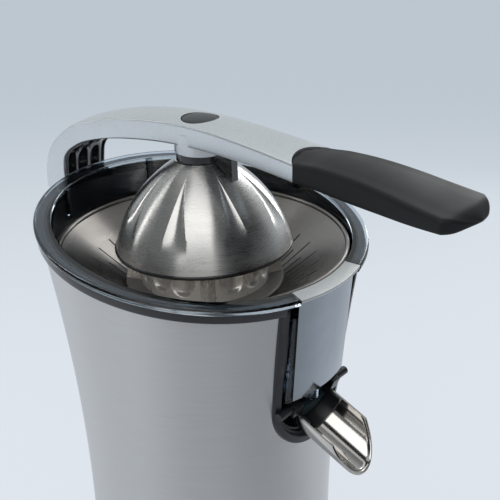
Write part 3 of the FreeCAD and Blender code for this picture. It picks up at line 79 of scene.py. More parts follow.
class Graph:
    """Node tree of one material, with short calls that add and join nodes."""

    noise_range: Pair = (0.3, 0.7)
    noise_roughness: float = 0.6
    quarter_turn: float = 0.25

    def __init__(self, name: str) -> None:
        """Makes a material with its main shader.

        Args:
            name: name of the material.
        """
        self.material = bpy.data.materials.new(name)
        self.material.use_nodes = True
        self.tree = self.material.node_tree
        self.surface = self.tree.nodes["Principled BSDF"]

    def set(self, **values: object) -> None:
        """Sets sockets of the main shader; an underscore in a name stands for a space."""
        for name, value in values.items():
            self.surface.inputs[name.replace("_", " ")].default_value = value

    def add(self, kind: str, **settings: object) -> bpy.types.Node:
        """Adds a node.

        Args:
            kind: type name of the node, without its common first word.
            settings: properties of the node.

        Returns:
            The new node.
        """
        node = self.tree.nodes.new("ShaderNode" + kind)
        for name, value in settings.items():
            setattr(node, name, value)
        return node

    def join(self, source: Socket, target: Socket) -> None:
        """Links one socket to another."""
        self.tree.links.new(source, target)

    def feed(self, target: Socket, value: Value | tuple[float, ...]) -> None:
        """Gives an input its value.

        Args:
            target: the input.
            value: a socket to link, or a plain value.
        """
        if isinstance(value, Socket):
            self.join(value, target)
        else:
            target.default_value = value

    def math(self, operation: str, first: Value, second: Value = 0.0) -> Socket:
        """Adds a sum of two values.

        Args:
            operation: name of the sum.
            first: a socket or a number.
            second: a socket or a number.

        Returns:
            Socket with the result.
        """
        node = self.add("Math", operation=operation)
        for target, value in zip(node.inputs, (first, second)):
            self.feed(target, value)
        return node.outputs[0]

    def weigh(self, first: Socket, second: Socket, share: float) -> Socket:
        """Sum of two values, the first by a share and the second by the rest."""
        return self.math("ADD", self.math("MULTIPLY", first, share), self.math("MULTIPLY", second, 1 - share))

    def point(self) -> Socket:
        """Place on the piece in its own frame."""
        return self.add("TexCoord").outputs["Object"]

    def round_point(self, turns: float, levels: float) -> Socket:
        """Place on a turned piece.

        Args:
            turns: scale of the angle about the upright axis.
            levels: scale of the height and of the distance from the axis.

        Returns:
            Socket with angle, height and distance as a vector.
        """
        split = self.add("SeparateXYZ")
        self.join(self.point(), split.inputs[0])
        across, along, level = split.outputs
        angle = self.math("ARCTAN2", along, across)
        reach = self.math("SQRT", self.math("ADD", self.math("MULTIPLY", across, across),
                                            self.math("MULTIPLY", along, along)))
        merge = self.add("CombineXYZ")
        parts = ((self.math("ABSOLUTE", angle), turns), (level, levels), (reach, levels))
        for target, (value, scale) in zip(merge.inputs, parts):
            self.join(self.math("MULTIPLY", value, scale), target)
        return merge.outputs[0]

    def noise(self, place: Socket, scale: float, detail: float) -> Socket:
        """Cloudy noise at a place.

        Args:
            place: socket with the place.
            scale: clouds per unit of the place.
            detail: finer layers.

        Returns:
            Socket with a value around one half.
        """
        node = self.add("TexNoise")
        for name, value in (("Scale", scale), ("Detail", detail), ("Roughness", self.noise_roughness)):
            node.inputs[name].default_value = value
        self.join(place, node.inputs["Vector"])
        return node.outputs["Fac"]

    def ramp(self, value: Socket, source: Pair, target: Pair, soft: bool = False) -> Socket:
        """Maps a value from one range to another and holds it there.

        Args:
            value: socket with the value.
            source: range that it comes from.
            target: range that it goes to.
            soft: whether both ends are eased.

        Returns:
            Socket with the mapped value.
        """
        node = self.add("MapRange", interpolation_type="SMOOTHSTEP" if soft else "LINEAR")
        for name, number in zip(("From Min", "From Max", "To Min", "To Max"), (*source, *target)):
            node.inputs[name].default_value = number
        self.join(value, node.inputs["Value"])
        return node.outputs[0]

    def spread(self, value: Socket, low: float, high: float) -> Socket:
        """Brings noise to a range of numbers."""
        return self.ramp(value, self.noise_range, (low, high))

    def along(self, place: Socket, way: Place) -> Socket:
        """Measures how far a place lies in a direction.

        Args:
            place: socket with the place.
            way: the direction.

        Returns:
            Socket with the distance.
        """
        node = self.add("VectorMath", operation="DOT_PRODUCT")
        node.inputs[1].default_value = way
        self.join(place, node.inputs[0])
        return node.outputs["Value"]

    def side(self, place: Socket, turn: float, source: Pair) -> Socket:
        """Share of the side at a turn, from where it starts to where it is full."""
        return self.ramp(self.along(place, (math.cos(turn), math.sin(turn), 0)), source, (0, 1), True)

    def blend(self, share: Socket, first: Tone, second: Tone) -> Socket:
        """Mixes two colours.

        Args:
            share: socket with the share of the second, from 0 to 1.
            first: a colour, or a socket with one.
            second: a colour, or a socket with one.

        Returns:
            Socket with the mixed colour.
        """
        node = self.add("Mix", data_type="RGBA")
        targets = [socket for socket in node.inputs if socket.type == "RGBA"]
        for target, value in zip(targets, (first, second)):
            self.feed(target, value if isinstance(value, Socket) else (*value, 1.0))
        self.join(share, node.inputs["Factor"])
        return next(socket for socket in node.outputs if socket.type == "RGBA")

    def colour(self, socket: Socket) -> None:
        """Gives the main shader its colour."""
        self.join(socket, self.surface.inputs["Base Color"])

    def tint(self, noise: Socket, colour: Colour, tone: Pair) -> None:
        """Varies the main shader's colour between two shares of it, by a noise."""
        first, second = (shade(colour, factor) for factor in tone)
        self.colour(self.blend(self.spread(noise, 0.0, 1.0), first, second))

    def polish(self, noise: Socket, roughness: float, wear: Pair) -> None:
        """Varies the main shader's roughness between two shares of it, by a noise."""
        low, high = (min(1.0, roughness * factor) for factor in wear)
        self.join(self.spread(noise, low, high), self.surface.inputs["Roughness"])

    def bump(self, height: Socket, strength: float, depth: float) -> None:
        """Raises the surface a little.

        Args:
            height: socket with a value from 0 to 1.
            strength: share of the full effect.
            depth: height of the relief.
        """
        node = self.add("Bump")
        node.inputs["Strength"].default_value = strength
        node.inputs["Distance"].default_value = depth
        self.join(height, node.inputs["Height"])
        self.join(node.outputs[0], self.surface.inputs["Normal"])

    def round_tangent(self) -> None:
        """Stretches highlights across lines that run round the upright axis."""
        node = self.add("Tangent", direction_type="RADIAL", axis="Z")
        self.join(node.outputs[0], self.surface.inputs["Tangent"])
        self.set(Anisotropic_Rotation=self.quarter_turn)


class WorldGraph(Graph):
    """Node tree of the world."""

    def __init__(self, world: bpy.types.World) -> None:
        """Takes the world's tree.

        Args:
            world: the world to light.
        """
        world.use_nodes = True
        self.tree = world.node_tree
        self.surface = self.tree.nodes["Background"]


@dataclass(frozen=True)
class BrushedSteel:
    """Steel sheet with fine brushed lines round its upright axis."""

    name: str
    colour: Colour
    roughness: float
    contrast: float = 0.05
    anisotropy: float = 0.9
    lines: float = 2600.0
    line_turns: float = 5.0
    line_share: float = 0.6
    band_lines: float = 9.0
    band_turns: float = 1.5
    wear: Pair = (0.85, 1.15)
    relief: Pair = (0.012, 0.00003)

    def build(self) -> Material:
        """Makes the material.

        Returns:
            The material.
        """
        graph = Graph(self.name)
        graph.round_tangent()
        lines = graph.noise(graph.round_point(self.line_turns, self.lines), scale=1.0, detail=3.0)
        bands = graph.noise(graph.round_point(self.band_turns, self.lines / self.band_lines),
                            scale=1.0, detail=2.0)
        both = graph.weigh(lines, bands, self.line_share)
        graph.tint(both, self.colour, (1 - self.contrast, 1 + self.contrast))
        graph.polish(both, self.roughness, self.wear)
        graph.bump(lines, *self.relief)
        graph.set(Metallic=1.0, Anisotropic=self.anisotropy)
        return graph.material


@dataclass(frozen=True)
class PolishedSteel:
    """Polished or turned metal with faint wiping marks."""

    name: str
    colour: Colour
    roughness: float
    marks: float = 60.0
    metallic: float = 1.0
    grain: float = 2200.0
    tone: Pair = (0.93, 1.05)
    wear: Pair = (0.75, 1.3)
    relief: Pair = (0.05, 0.00003)

    def build(self) -> Material:
        """Makes the material.

        Returns:
            The material.
        """
        graph = Graph(self.name)
        haze = graph.noise(graph.point(), self.marks, detail=5.0)
        graph.tint(haze, self.colour, self.tone)
        graph.polish(haze, self.roughness, self.wear)
        graph.bump(graph.noise(graph.point(), self.grain, detail=2.0), *self.relief)
        graph.set(Metallic=self.metallic)
        return graph.material


@dataclass(frozen=True)
class SilverPaint:
    """Silver paint with fine metallic flakes under a thin clear coat."""

    name: str
    colour: Colour
    roughness: float
    metallic: float = 0.55
    coat: float = 0.25
    coat_roughness: float = 0.12
    flakes: float = 2600.0
    flake_share: float = 0.75
    clouds: float = 45.0
    tone: Pair = (0.86, 1.1)
    wear: Pair = (0.85, 1.15)
    relief: Pair = (0.06, 0.00003)

    def build(self) -> Material:
        """Makes the material.

        Returns:
            The material.
        """
        graph = Graph(self.name)
        flakes = graph.noise(graph.point(), self.flakes, detail=1.0)
        clouds = graph.noise(graph.point(), self.clouds, detail=3.0)
        graph.tint(graph.weigh(flakes, clouds, self.flake_share), self.colour, self.tone)
        graph.polish(flakes, self.roughness, self.wear)
        graph.bump(flakes, *self.relief)
        graph.set(Metallic=self.metallic, Coat_Weight=self.coat, Coat_Roughness=self.coat_roughness)
        return graph.material


@dataclass(frozen=True)
class MouldedPlastic:
    """Moulded plastic or rubber with a fine grain."""

    name: str
    colour: Colour
    roughness: float
    coat: float = 0.0
    coat_roughness: float = 0.06
    specular: float = 0.5
    grain: float = 1500.0
    clouds: float = 38.0
    tone: Pair = (0.85, 1.2)
    wear: Pair = (0.88, 1.12)
    relief: Pair = (0.25, 0.00005)

    def build(self) -> Material:
        """Makes the material.

        Returns:
            The material.
        """
        graph = Graph(self.name)
        clouds = graph.noise(graph.point(), self.clouds, detail=5.0)
        graph.tint(clouds, self.colour, self.tone)
        graph.polish(clouds, self.roughness, self.wear)
        graph.bump(graph.noise(graph.point(), self.grain, detail=2.0), *self.relief)
        graph.set(Coat_Weight=self.coat, Coat_Roughness=self.coat_roughness, Specular_IOR_Level=self.specular)
        return graph.material


@dataclass(frozen=True)
class ClearPlastic:
    """Clear moulded plastic with a faint smoky tint."""

    name: str
    colour: Colour
    roughness: float = 0.03
    index: float = 1.49
    clouds: float = 55.0
    tone: Pair = (0.96, 1.03)
    wear: Pair = (0.6, 1.6)
    relief: Pair = (0.01, 0.0002)

    def build(self) -> Material:
        """Makes the material.

        Returns:
            The material.
        """
        graph = Graph(self.name)
        flow = graph.noise(graph.point(), self.clouds, detail=3.0)
        graph.tint(flow, self.colour, self.tone)
        graph.polish(flow, self.roughness, self.wear)
        graph.bump(flow, *self.relief)
        graph.set(Transmission_Weight=1.0, IOR=self.index)
        return graph.material


@dataclass(frozen=True)
class WoundWire:
    """Enamelled copper wire wound side by side round the motor's axis, with painted shade in the grooves
    between the windings.
    """

    name: str
    colour: Colour
    roughness: float = 0.4
    metallic: float = 0.6
    strands: float = 350.0
    waver: float = 1.5
    painted_groove_shade: float = 0.5
    relief: Pair = (0.5, 0.0003)

    def build(self) -> Material:
        """Makes the material.

        Returns:
            The material.
        """
        graph = Graph(self.name)
        wave = graph.add("TexWave", bands_direction="Z")
        wave.inputs["Scale"].default_value = self.strands
        wave.inputs["Distortion"].default_value = self.waver
        graph.join(graph.point(), wave.inputs["Vector"])
        # Painted shade: the colour darkens in the grooves between the windings.
        graph.colour(graph.blend(wave.outputs["Fac"], shade(self.colour, self.painted_groove_shade), self.colour))
        graph.bump(wave.outputs["Fac"], *self.relief)
        graph.set(Metallic=self.metallic, Roughness=self.roughness)
        return graph.material


FINISHES = {finish.name: finish for finish in (
    BrushedSteel("shell_steel", (0.62, 0.62, 0.615), 0.34),
    BrushedSteel("dome_steel", (0.62, 0.61, 0.59), 0.28, contrast=0.02),
    BrushedSteel("strainer_steel", (0.33, 0.31, 0.29), 0.30, contrast=0.04),
    PolishedSteel("chute_steel", (0.62, 0.60, 0.57), 0.12),
    PolishedSteel("reamer_steel", (0.93, 0.90, 0.84), 0.30, metallic=0.6),
    PolishedSteel("panel_mirror", (0.31, 0.34, 0.37), 0.10),
    PolishedSteel("turned_steel", (0.55, 0.55, 0.54), 0.25),
    PolishedSteel("sintered_bronze", (0.50, 0.34, 0.16), 0.45, marks=400.0),
    PolishedSteel("motor_iron", (0.20, 0.20, 0.21), 0.5, marks=200.0),
    SilverPaint("silver_paint", (0.74, 0.78, 0.80), 0.32, metallic=0.8),
    SilverPaint("cap_silver", (0.60, 0.62, 0.62), 0.34),
    MouldedPlastic("body_black", (0.014, 0.015, 0.017), 0.33),
    MouldedPlastic("frame_charcoal", (0.020, 0.022, 0.026), 0.32),
    MouldedPlastic("gloss_black", (0.010, 0.010, 0.012), 0.14, coat=0.5),
    MouldedPlastic("button_grey", (0.026, 0.030, 0.034), 0.34),
    MouldedPlastic("grip_black", (0.013, 0.0135, 0.0145), 0.5, grain=2600.0, specular=0.3),
    MouldedPlastic("skirt_grey", (0.22, 0.21, 0.20), 0.36),
    MouldedPlastic("dark_silicone", (0.022, 0.045, 0.055), 0.5),
    MouldedPlastic("foot_rubber", (0.02, 0.02, 0.02), 0.75, grain=900.0),
    MouldedPlastic("gear_plastic", (0.72, 0.69, 0.60), 0.45),
    MouldedPlastic("case_plastic", (0.10, 0.105, 0.11), 0.5),
    ClearPlastic("clear_plastic", (0.58, 0.66, 0.74)),
    WoundWire("copper_wire", (0.72, 0.30, 0.12)),
)}

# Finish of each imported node, also of those that a finer piece stands for.
NODE_FINISH = {
    "body_black": ("base_plate", "hinge_bracket", "chute_carrier", "deck", "cord_gland", "collar", "dome_hub",
                   "chute_pins"),
    "frame_charcoal": ("spout_frame",),
    "shell_steel": ("housing_shell",),
    "foot_rubber": ("foot_ring",),
    "turned_steel": ("hinge_pin", "base_screws", "dome_stud", "drive_shaft", "return_spring",
                     "gearbox_screws", "gearbox_posts", "lay_pin", "motor_shaft", "motor_pinion"),
    "dark_silicone": ("drip_stopper", "dome_gasket", "shaft_seal"),
    "sintered_bronze": ("shaft_bush", "output_bushes", "motor_bushes"),
    "gear_plastic": ("output_gear", "lay_gear", "lay_pinion"),
    "case_plastic": ("gearbox_base", "gearbox_cover", "micro_switch", "cooling_fan", "switch_plunger"),
    "motor_iron": ("motor_can", "motor_stator", "motor_rotor", "switch_bracket"),
    "copper_wire": ("motor_coils",),
    "clear_plastic": ("juice_bowl",),
    "panel_mirror": ("spout_panel",),
    "cap_silver": ("spout_cap",),
    "strainer_steel": ("strainer",),
    "dome_steel": ("press_dome",),
    "chute_steel": ("chute",),
    "reamer_steel": ("reamer",),
    "skirt_grey": ("reamer_skirt",),
    "silver_paint": ("arm_casting",),
    "gloss_black": ("arm_inner_cover",),
    "button_grey": ("release_button",),
    "grip_black": ("grip",),
}


@dataclass
class Finishes:
    """Builds each finish once, when it is first asked for."""

    made: dict[str, Material] = field(default_factory=dict)

    def __getitem__(self, name: str) -> Material:
        """Gives a material.

        Args:
            name: name of the finish.

        Returns:
            The material of that name.
        """
        if name not in self.made:
            self.made[name] = FINISHES[name].build()
        return self.made[name]


def arc(start: float, end: float, steps: int) -> list[float]:
    """Numbers from a start to an end, both included."""
    return [start + (end - start) * index / steps for index in range(steps + 1)]


def ease(share: float) -> float:
    """Smooth step from 0 to 1."""
    share = max(0.0, min(1.0, share))
    return share * share * (3 - 2 * share)


def polar(radius: float, turn: float, level: float) -> Vector:
    """Point at a distance from the upright axis, a turn about it and a height."""
    return Vector((radius * math.cos(turn), radius * math.sin(turn), level))


def rounded(corners: Sequence[Corner], steps: int = 4) -> list[Pair]:
    """Rounds the corners of a closed outline.

    Args:
        corners: two coordinates and the length that the rounding takes from each side.
        steps: pieces of each rounding.

    Returns:
        Points of the outline.
    """
    points: list[Pair] = []
    count = len(corners)
    for index, (u, v, size) in enumerate(corners):
        if not size:
            points.append((u, v))
            continue
        corner = Vector((u, v))
        before, after = (Vector(corners[(index + step) % count][:2]) for step in (-1, 1))
        start = corner + (before - corner).normalized() * min(size, (before - corner).length / 2)
        end = corner + (after - corner).normalized() * min(size, (after - corner).length / 2)
        for share in arc(0.0, 1.0, steps):
            spot = start * (1 - share) ** 2 + corner * 2 * share * (1 - share) + end * share ** 2
            points.append((spot.x, spot.y))
    return points


def band(radii: Pair, levels: Pair, rounds: Sequence[float]) -> list[Pair]:
    """Section of a ring with four rounded corners.

    Args:
        radii: inner and outer radius.
        levels: lower and upper level.
        rounds: roundings, from the inner lower corner by way of the outer ones.

    Returns:
        Points of the section, as radius and level.
    """
    (inner, outer), (low, high) = radii, levels
    corners = ((inner, low), (outer, low), (outer, high), (inner, high))
    return rounded([(*corner, size) for corner, size in zip(corners, rounds)])


class Solid:
    """Points and faces of one piece while it is built."""

    def __init__(self) -> None:
        """Starts with nothing."""
        self.points: list[Vector] = []
        self.faces: list[tuple[int, ...]] = []

    def grid(self, rows: Sequence[Sequence[Vector]], wrap_rows: bool = False,
             wrap_columns: bool = False) -> "Solid":
        """Adds a net of quads.

        Args:
            rows: rows of points, all of one length.
            wrap_rows: joins the last row to the first.
            wrap_columns: joins the last column to the first.

        Returns:
            This solid.
        """
        first = len(self.points)
        high, wide = len(rows), len(rows[0])
        for row in rows:
            self.points.extend(row)
        for i in range(high if wrap_rows else high - 1):
            for j in range(wide if wrap_columns else wide - 1):
                below, above = first + i * wide, first + (i + 1) % high * wide
                right = (j + 1) % wide
                self.faces.append((below + j, below + right, above + right, above + j))
        return self

    def cap(self, loop: Sequence[Vector]) -> "Solid":
        """Adds one flat face.

        Args:
            loop: points round the face.

        Returns:
            This solid.
        """
        first = len(self.points)
        self.points.extend(loop)
        self.faces.append(tuple(range(first, first + len(loop))))
        return self

    def loft(self, loops: Sequence[Sequence[Vector]], closed: bool = False) -> "Solid":
        """Adds a skin over loops of points.

        Args:
            loops: loops of points, all of one length.
            closed: joins the last loop to the first, in place of two end faces.

        Returns:
            This solid.
        """
        self.grid(loops, wrap_rows=closed, wrap_columns=True)
        if not closed:
            self.cap(loops[0])
            self.cap(loops[-1])
        return self

    def lathe(self, profile: Sequence[Pair], segments: int) -> "Solid":
        """Adds a closed profile, turned about the upright axis.

        Args:
            profile: points as radius and height.
            segments: pieces round the axis.

        Returns:
            This solid.
        """
        rows = [[polar(radius, turn, level) for radius, level in profile]
                for turn in arc(0, 2 * math.pi, segments)[:-1]]
        return self.grid(rows, wrap_rows=True, wrap_columns=True)

    def box(self, low: Place, high: Place) -> "Solid":
        """Adds a box between two corners."""
        plan = ((low[0], low[1]), (high[0], low[1]), (high[0], high[1]), (low[0], high[1]))
        return self.loft([[Vector((x, y, z)) for x, y in plan] for z in (low[2], high[2])])

    def moved(self, matrix: Matrix) -> "Solid":
        """Places the whole solid."""
        self.points = [matrix @ point for point in self.points]
        return self

    def build(self, name: str, *materials: Material, crease: float = CREASE) -> Piece:
        """Makes the object.

        Args:
            name: name of the piece.
            materials: its finish, and a second one where a modifier gives it to the inner side.
            crease: angle in degrees above which an edge stays crisp.

        Returns:
            The new object, in the scene.
        """
        mesh = bpy.data.meshes.new(name)
        mesh.from_pydata([tuple(point) for point in self.points], [], self.faces)
        shape = bmesh.new()
        shape.from_mesh(mesh)
        bmesh.ops.remove_doubles(shape, verts=shape.verts, dist=MERGE)
        bmesh.ops.dissolve_degenerate(shape, edges=shape.edges, dist=MERGE)
        bmesh.ops.recalc_face_normals(shape, faces=shape.faces)
        shape.to_mesh(mesh)
        shape.free()
        for material in materials:
            mesh.materials.append(material)
        item = bpy.data.objects.new(name, mesh)
        bpy.context.scene.collection.objects.link(item)
        smooth(item, crease)
        return item


def smooth(item: Piece, crease: float) -> None:
    """Shades a piece smooth, with crisp edges above an angle in degrees."""
    item.data.shade_smooth()
    item.data.set_sharp_from_angle(angle=math.radians(crease))


def settle(item: Piece) -> None:
    """Turns the effect of a piece's modifiers into its mesh.

    Args:
        item: the piece.
    """
    graph = bpy.context.evaluated_depsgraph_get()
    mesh = bpy.data.meshes.new_from_object(item.evaluated_get(graph))
    item.modifiers.clear()
    item.data = mesh


def combine(item: Piece, tool: Piece, joining: Joining, crease: float = CREASE) -> None:
    """Cuts a tool out of a piece, or unites the two.

    Args:
        item: the piece.
        tool: the tool, which is used up.
        joining: whether it cuts or unites.
        crease: angle in degrees above which an edge stays crisp.
    """
    modifier = item.modifiers.new("combine", "BOOLEAN")
    modifier.operation = joining.value
    modifier.solver = "EXACT"
    modifier.object = tool
    settle(item)
    bpy.data.objects.remove(tool)
    smooth(item, crease)


def publish(item: Piece, body: str, slot: str, *nodes: str) -> None:
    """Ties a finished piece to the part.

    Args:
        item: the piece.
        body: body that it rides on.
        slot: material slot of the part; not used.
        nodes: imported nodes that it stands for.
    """
    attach(item, body)
    if nodes:
        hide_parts(*nodes)
    LOG.info("%s rides on %s", item.name, body)


@dataclass(frozen=True)
class Rim:
    """Sloping plane of the bowl's rim."""

    height: float = 0.250
    tilt: float = math.radians(7.5)

    def place(self, radius: float, turn: float, rise: float) -> Vector:
        """Point at a radius, turn and height in the sloping frame."""
        return Vector((0, 0, self.height)) + Matrix.Rotation(self.tilt, 3, "Y") @ polar(radius, turn, rise)

    def plan_radius(self, radius: float, turn: float) -> float:
        """Distance from the axis, seen from above, of a circle in the sloping plane."""
        return radius / math.hypot(math.cos(turn) / math.cos(self.tilt), math.sin(turn))

    def level(self, x: float, rise: float) -> float:
        """Height over the table of a plane parallel to the rim, at a distance along X."""
        return self.height + (rise - x * math.sin(self.tilt)) / math.cos(self.tilt)


@dataclass(frozen=True)
class SpoutOpening:
    """Outline of the spout's opening in the shell: straight sides over a half circle."""

    arc_level: float = 0.168
    low_half: float = 0.0305
    top_half: float = 0.0350
    top_level: float = 0.262
    side_steps: int = 20
    arc_steps: int = 32

    def half(self, level: float, inset: float) -> float:
        """Half width at a level.

        Args:
            level: height over the table.
            inset: distance inside the outline.

        Returns:
            The half width, less the inset.
        """
        if level >= self.arc_level:
            share = (level - self.arc_level) / (self.top_level - self.arc_level)
            return self.low_half + (self.top_half - self.low_half) * share - inset
        return math.sqrt(max(0.0, (self.low_half - inset) ** 2 - (self.arc_level - level) ** 2))

    def path(self, top: float, inset: float) -> list[Pair]:
        """Outline points.

        Args:
            top: level at which both sides start.
            inset: distance inside the outline.

        Returns:
            Places across and up, from the left top round to the right top.
        """
        radius = self.low_half - inset
        down = [(-self.half(level, inset), level) for level in arc(top, self.arc_level, self.side_steps)]
        bend = [(radius * math.cos(turn), self.arc_level + radius * math.sin(turn))
                for turn in arc(math.pi, 2 * math.pi, self.arc_steps)]
        up = [(-across, level) for across, level in reversed(down)]
        return down[:-1] + bend + up[1:]


@dataclass
class Housing:
    """Flared steel shell with its black collar."""

    finishes: Finishes
    rim: Rim
    opening: SpoutOpening
    waist_radius: float = 0.0743
    waist_level: float = 0.060
    flare: float = 1.160
    bottom: float = 0.005
    wall: float = 0.0012
    top_drop: float = 0.0086
    lip_depth: float = 0.0030
    collar_radius: float = 0.0914
    collar_inner: float = 0.0872
    collar_round: float = 0.0009
    hidden_lap: float = 0.0018
    crease: float = 40.0
    rounds: int = 5
    rows: int = 130
    columns: int = 220

    def radius(self, level: float) -> float:
        """Outer radius of the flared shell at a level."""
        return self.waist_radius + self.flare - math.sqrt(self.flare ** 2 - (level - self.waist_level) ** 2)

    def shell_point(self, share: float, turn_share: float) -> Vector:
        """Point on the shell; its sides follow the spout's opening and its top follows the rim.

        Args:
            share: place between the foot (0) and the top (1).
            turn_share: place round the shell, from one side of the opening (0) to the other (1).

        Returns:
            The point, found in a few rounds because turn and level depend on each other.
        """
        level = self.bottom
        turn = 2 * math.pi * turn_share
        for _ in range(self.rounds):
            top = self.rim.level(self.radius(level) * math.cos(turn), -self.top_drop)
            level = self.bottom + (top - self.bottom) * share
            edge = math.asin(self.opening.half(level, self.hidden_lap) / self.radius(level))
            turn = edge + turn_share * 2 * (math.pi - edge)
        return polar(self.radius(level), turn, level)

    def shell(self) -> None:
        """Builds the steel shell, black on its inner side."""
        rows = [[self.shell_point(share, turn_share) for turn_share in arc(0.0, 1.0, self.columns)]
                for share in arc(0.0, 1.0, self.rows)]
        item = Solid().grid(rows).build("steel_shell", self.finishes["shell_steel"],
                                        self.finishes["body_black"])
        skin = item.modifiers.new("skin", "SOLIDIFY")
        skin.thickness = self.wall
        skin.offset = -1.0
        skin.material_offset = 1
        settle(item)
        smooth(item, self.crease)
        publish(item, "housing", "brushed_steel_body", "housing_shell")

    def collar(self) -> None:
        """Builds the black band between the shell and the clear rim."""
        section = band((self.collar_inner, self.collar_radius), (-self.top_drop, -self.lip_depth),
                       (0, self.collar_round, self.collar_round, 0))
        half = self.opening.half(self.rim.height - 2 * self.top_drop, self.hidden_lap)
        edge = math.asin(half / self.collar_radius)
        loops = [[self.rim.place(radius, turn, rise) for radius, rise in section]
                 for turn in arc(edge, 2 * math.pi - edge, self.columns)]
        item = Solid().loft(loops).build("collar_band", self.finishes["gloss_black"])
        publish(item, "housing", "black_plastic", "collar")

    def build(self) -> None:
        """Builds all pieces of the housing."""
        self.shell()
        self.collar()


@dataclass
class SpoutFrame:
    """Charcoal frame round the spout's recess, with stepped edges.

    Each step is a distance inside the opening's outline and a depth behind the frame's front.
    """

    finishes: Finishes
    opening: SpoutOpening
    housing_radius: Callable[[float], float]
    proud: float = 0.0016
    top: float = 0.2305
    floor_x: float = 0.065
    back_x: float = 0.062
    plate_share: float = 0.999
    bowl_radius: float = 0.0812
    bowl_flare: float = 0.085
    bowl_level: float = 0.194
    bowl_fade: float = 0.010
    bowl_gap: float = 0.0004
    least_depth: float = 0.15
    thinning: float = 0.1
    back_gap: float = 0.0001
    crease: float = 24.0
    steps: tuple[Pair, ...] = (
        (0.0, 0.0042), (0.0, 0.0006), (0.0006, 0.0), (0.0038, 0.0), (0.0044, 0.0006), (0.0044, 0.0024),
        (0.0047, 0.0027), (0.0062, 0.0027), (0.0066, 0.0031), (0.0066, 0.0052), (0.0078, 0.0056))

    def front(self, across: float, level: float) -> float:
        """Place of the frame's front along X."""
        return math.sqrt((self.housing_radius(level) + self.proud) ** 2 - across ** 2)

    def share(self, level: float) -> float:
        """Share by which the clear bowl hangs behind the frame at a level."""
        return ease((level - self.bowl_level + self.bowl_fade) / self.bowl_fade)

    def squeeze(self, across: float, level: float) -> float:
        """Finds how much the steps flatten in front of the clear bowl.

        Args:
            across: place across the spout.
            level: height over the table.

        Returns:
            Share of the steps' depth that is left.
        """
        radius = self.bowl_radius + self.bowl_flare * (level - self.bowl_level)
        room = self.front(across, level) - math.sqrt(radius ** 2 - across ** 2) - self.bowl_gap
        left = max(self.least_depth, min(1.0, room / self.steps[-1][1]))
        return 1.0 - self.share(level) * (1.0 - left)

    def behind(self, x: float, across: float, level: float) -> float:
        """Place along X of the recess, kept outside the clear bowl where that hangs in it."""
        near = self.front(across, level) - self.steps[-1][1] * self.squeeze(across, level)
        return x + self.share(level) * (near - self.thinning * (self.floor_x - x) - self.back_gap - x)

    def band_loop(self, spots: Sequence[Pair]) -> list[Vector]:
        """Closed section of the stepped band.

        Args:
            spots: places across and up, one for each step.

        Returns:
            Points of the section.
        """
        loop = []
        for (across, level), (_, depth) in zip(spots, self.steps):
            x = self.front(across, level) - depth * self.squeeze(across, level)
            loop.append(Vector((x, across, level)))
        for spot, x in ((spots[-1], self.floor_x), (spots[-1], self.back_x), (spots[0], self.back_x)):
            loop.append(Vector((self.behind(x, *spot), *spot)))
        return loop

    def build(self) -> None:
        """Builds the stepped band and the plate at the back of the recess."""
        outlines = [self.opening.path(self.top, inset) for inset, _ in self.steps]
        solid = Solid().loft([self.band_loop(spots) for spots in zip(*outlines)])
        plate = self.opening.path(self.bowl_level, self.steps[-1][0])
        solid.loft([[Vector((x, across * self.plate_share, level)) for across, level in plate]
                    for x in (self.back_x, self.floor_x)])
        item = solid.build("spout_surround", self.finishes["frame_charcoal"], crease=self.crease)
        publish(item, "housing", "black_plastic", "spout_frame")


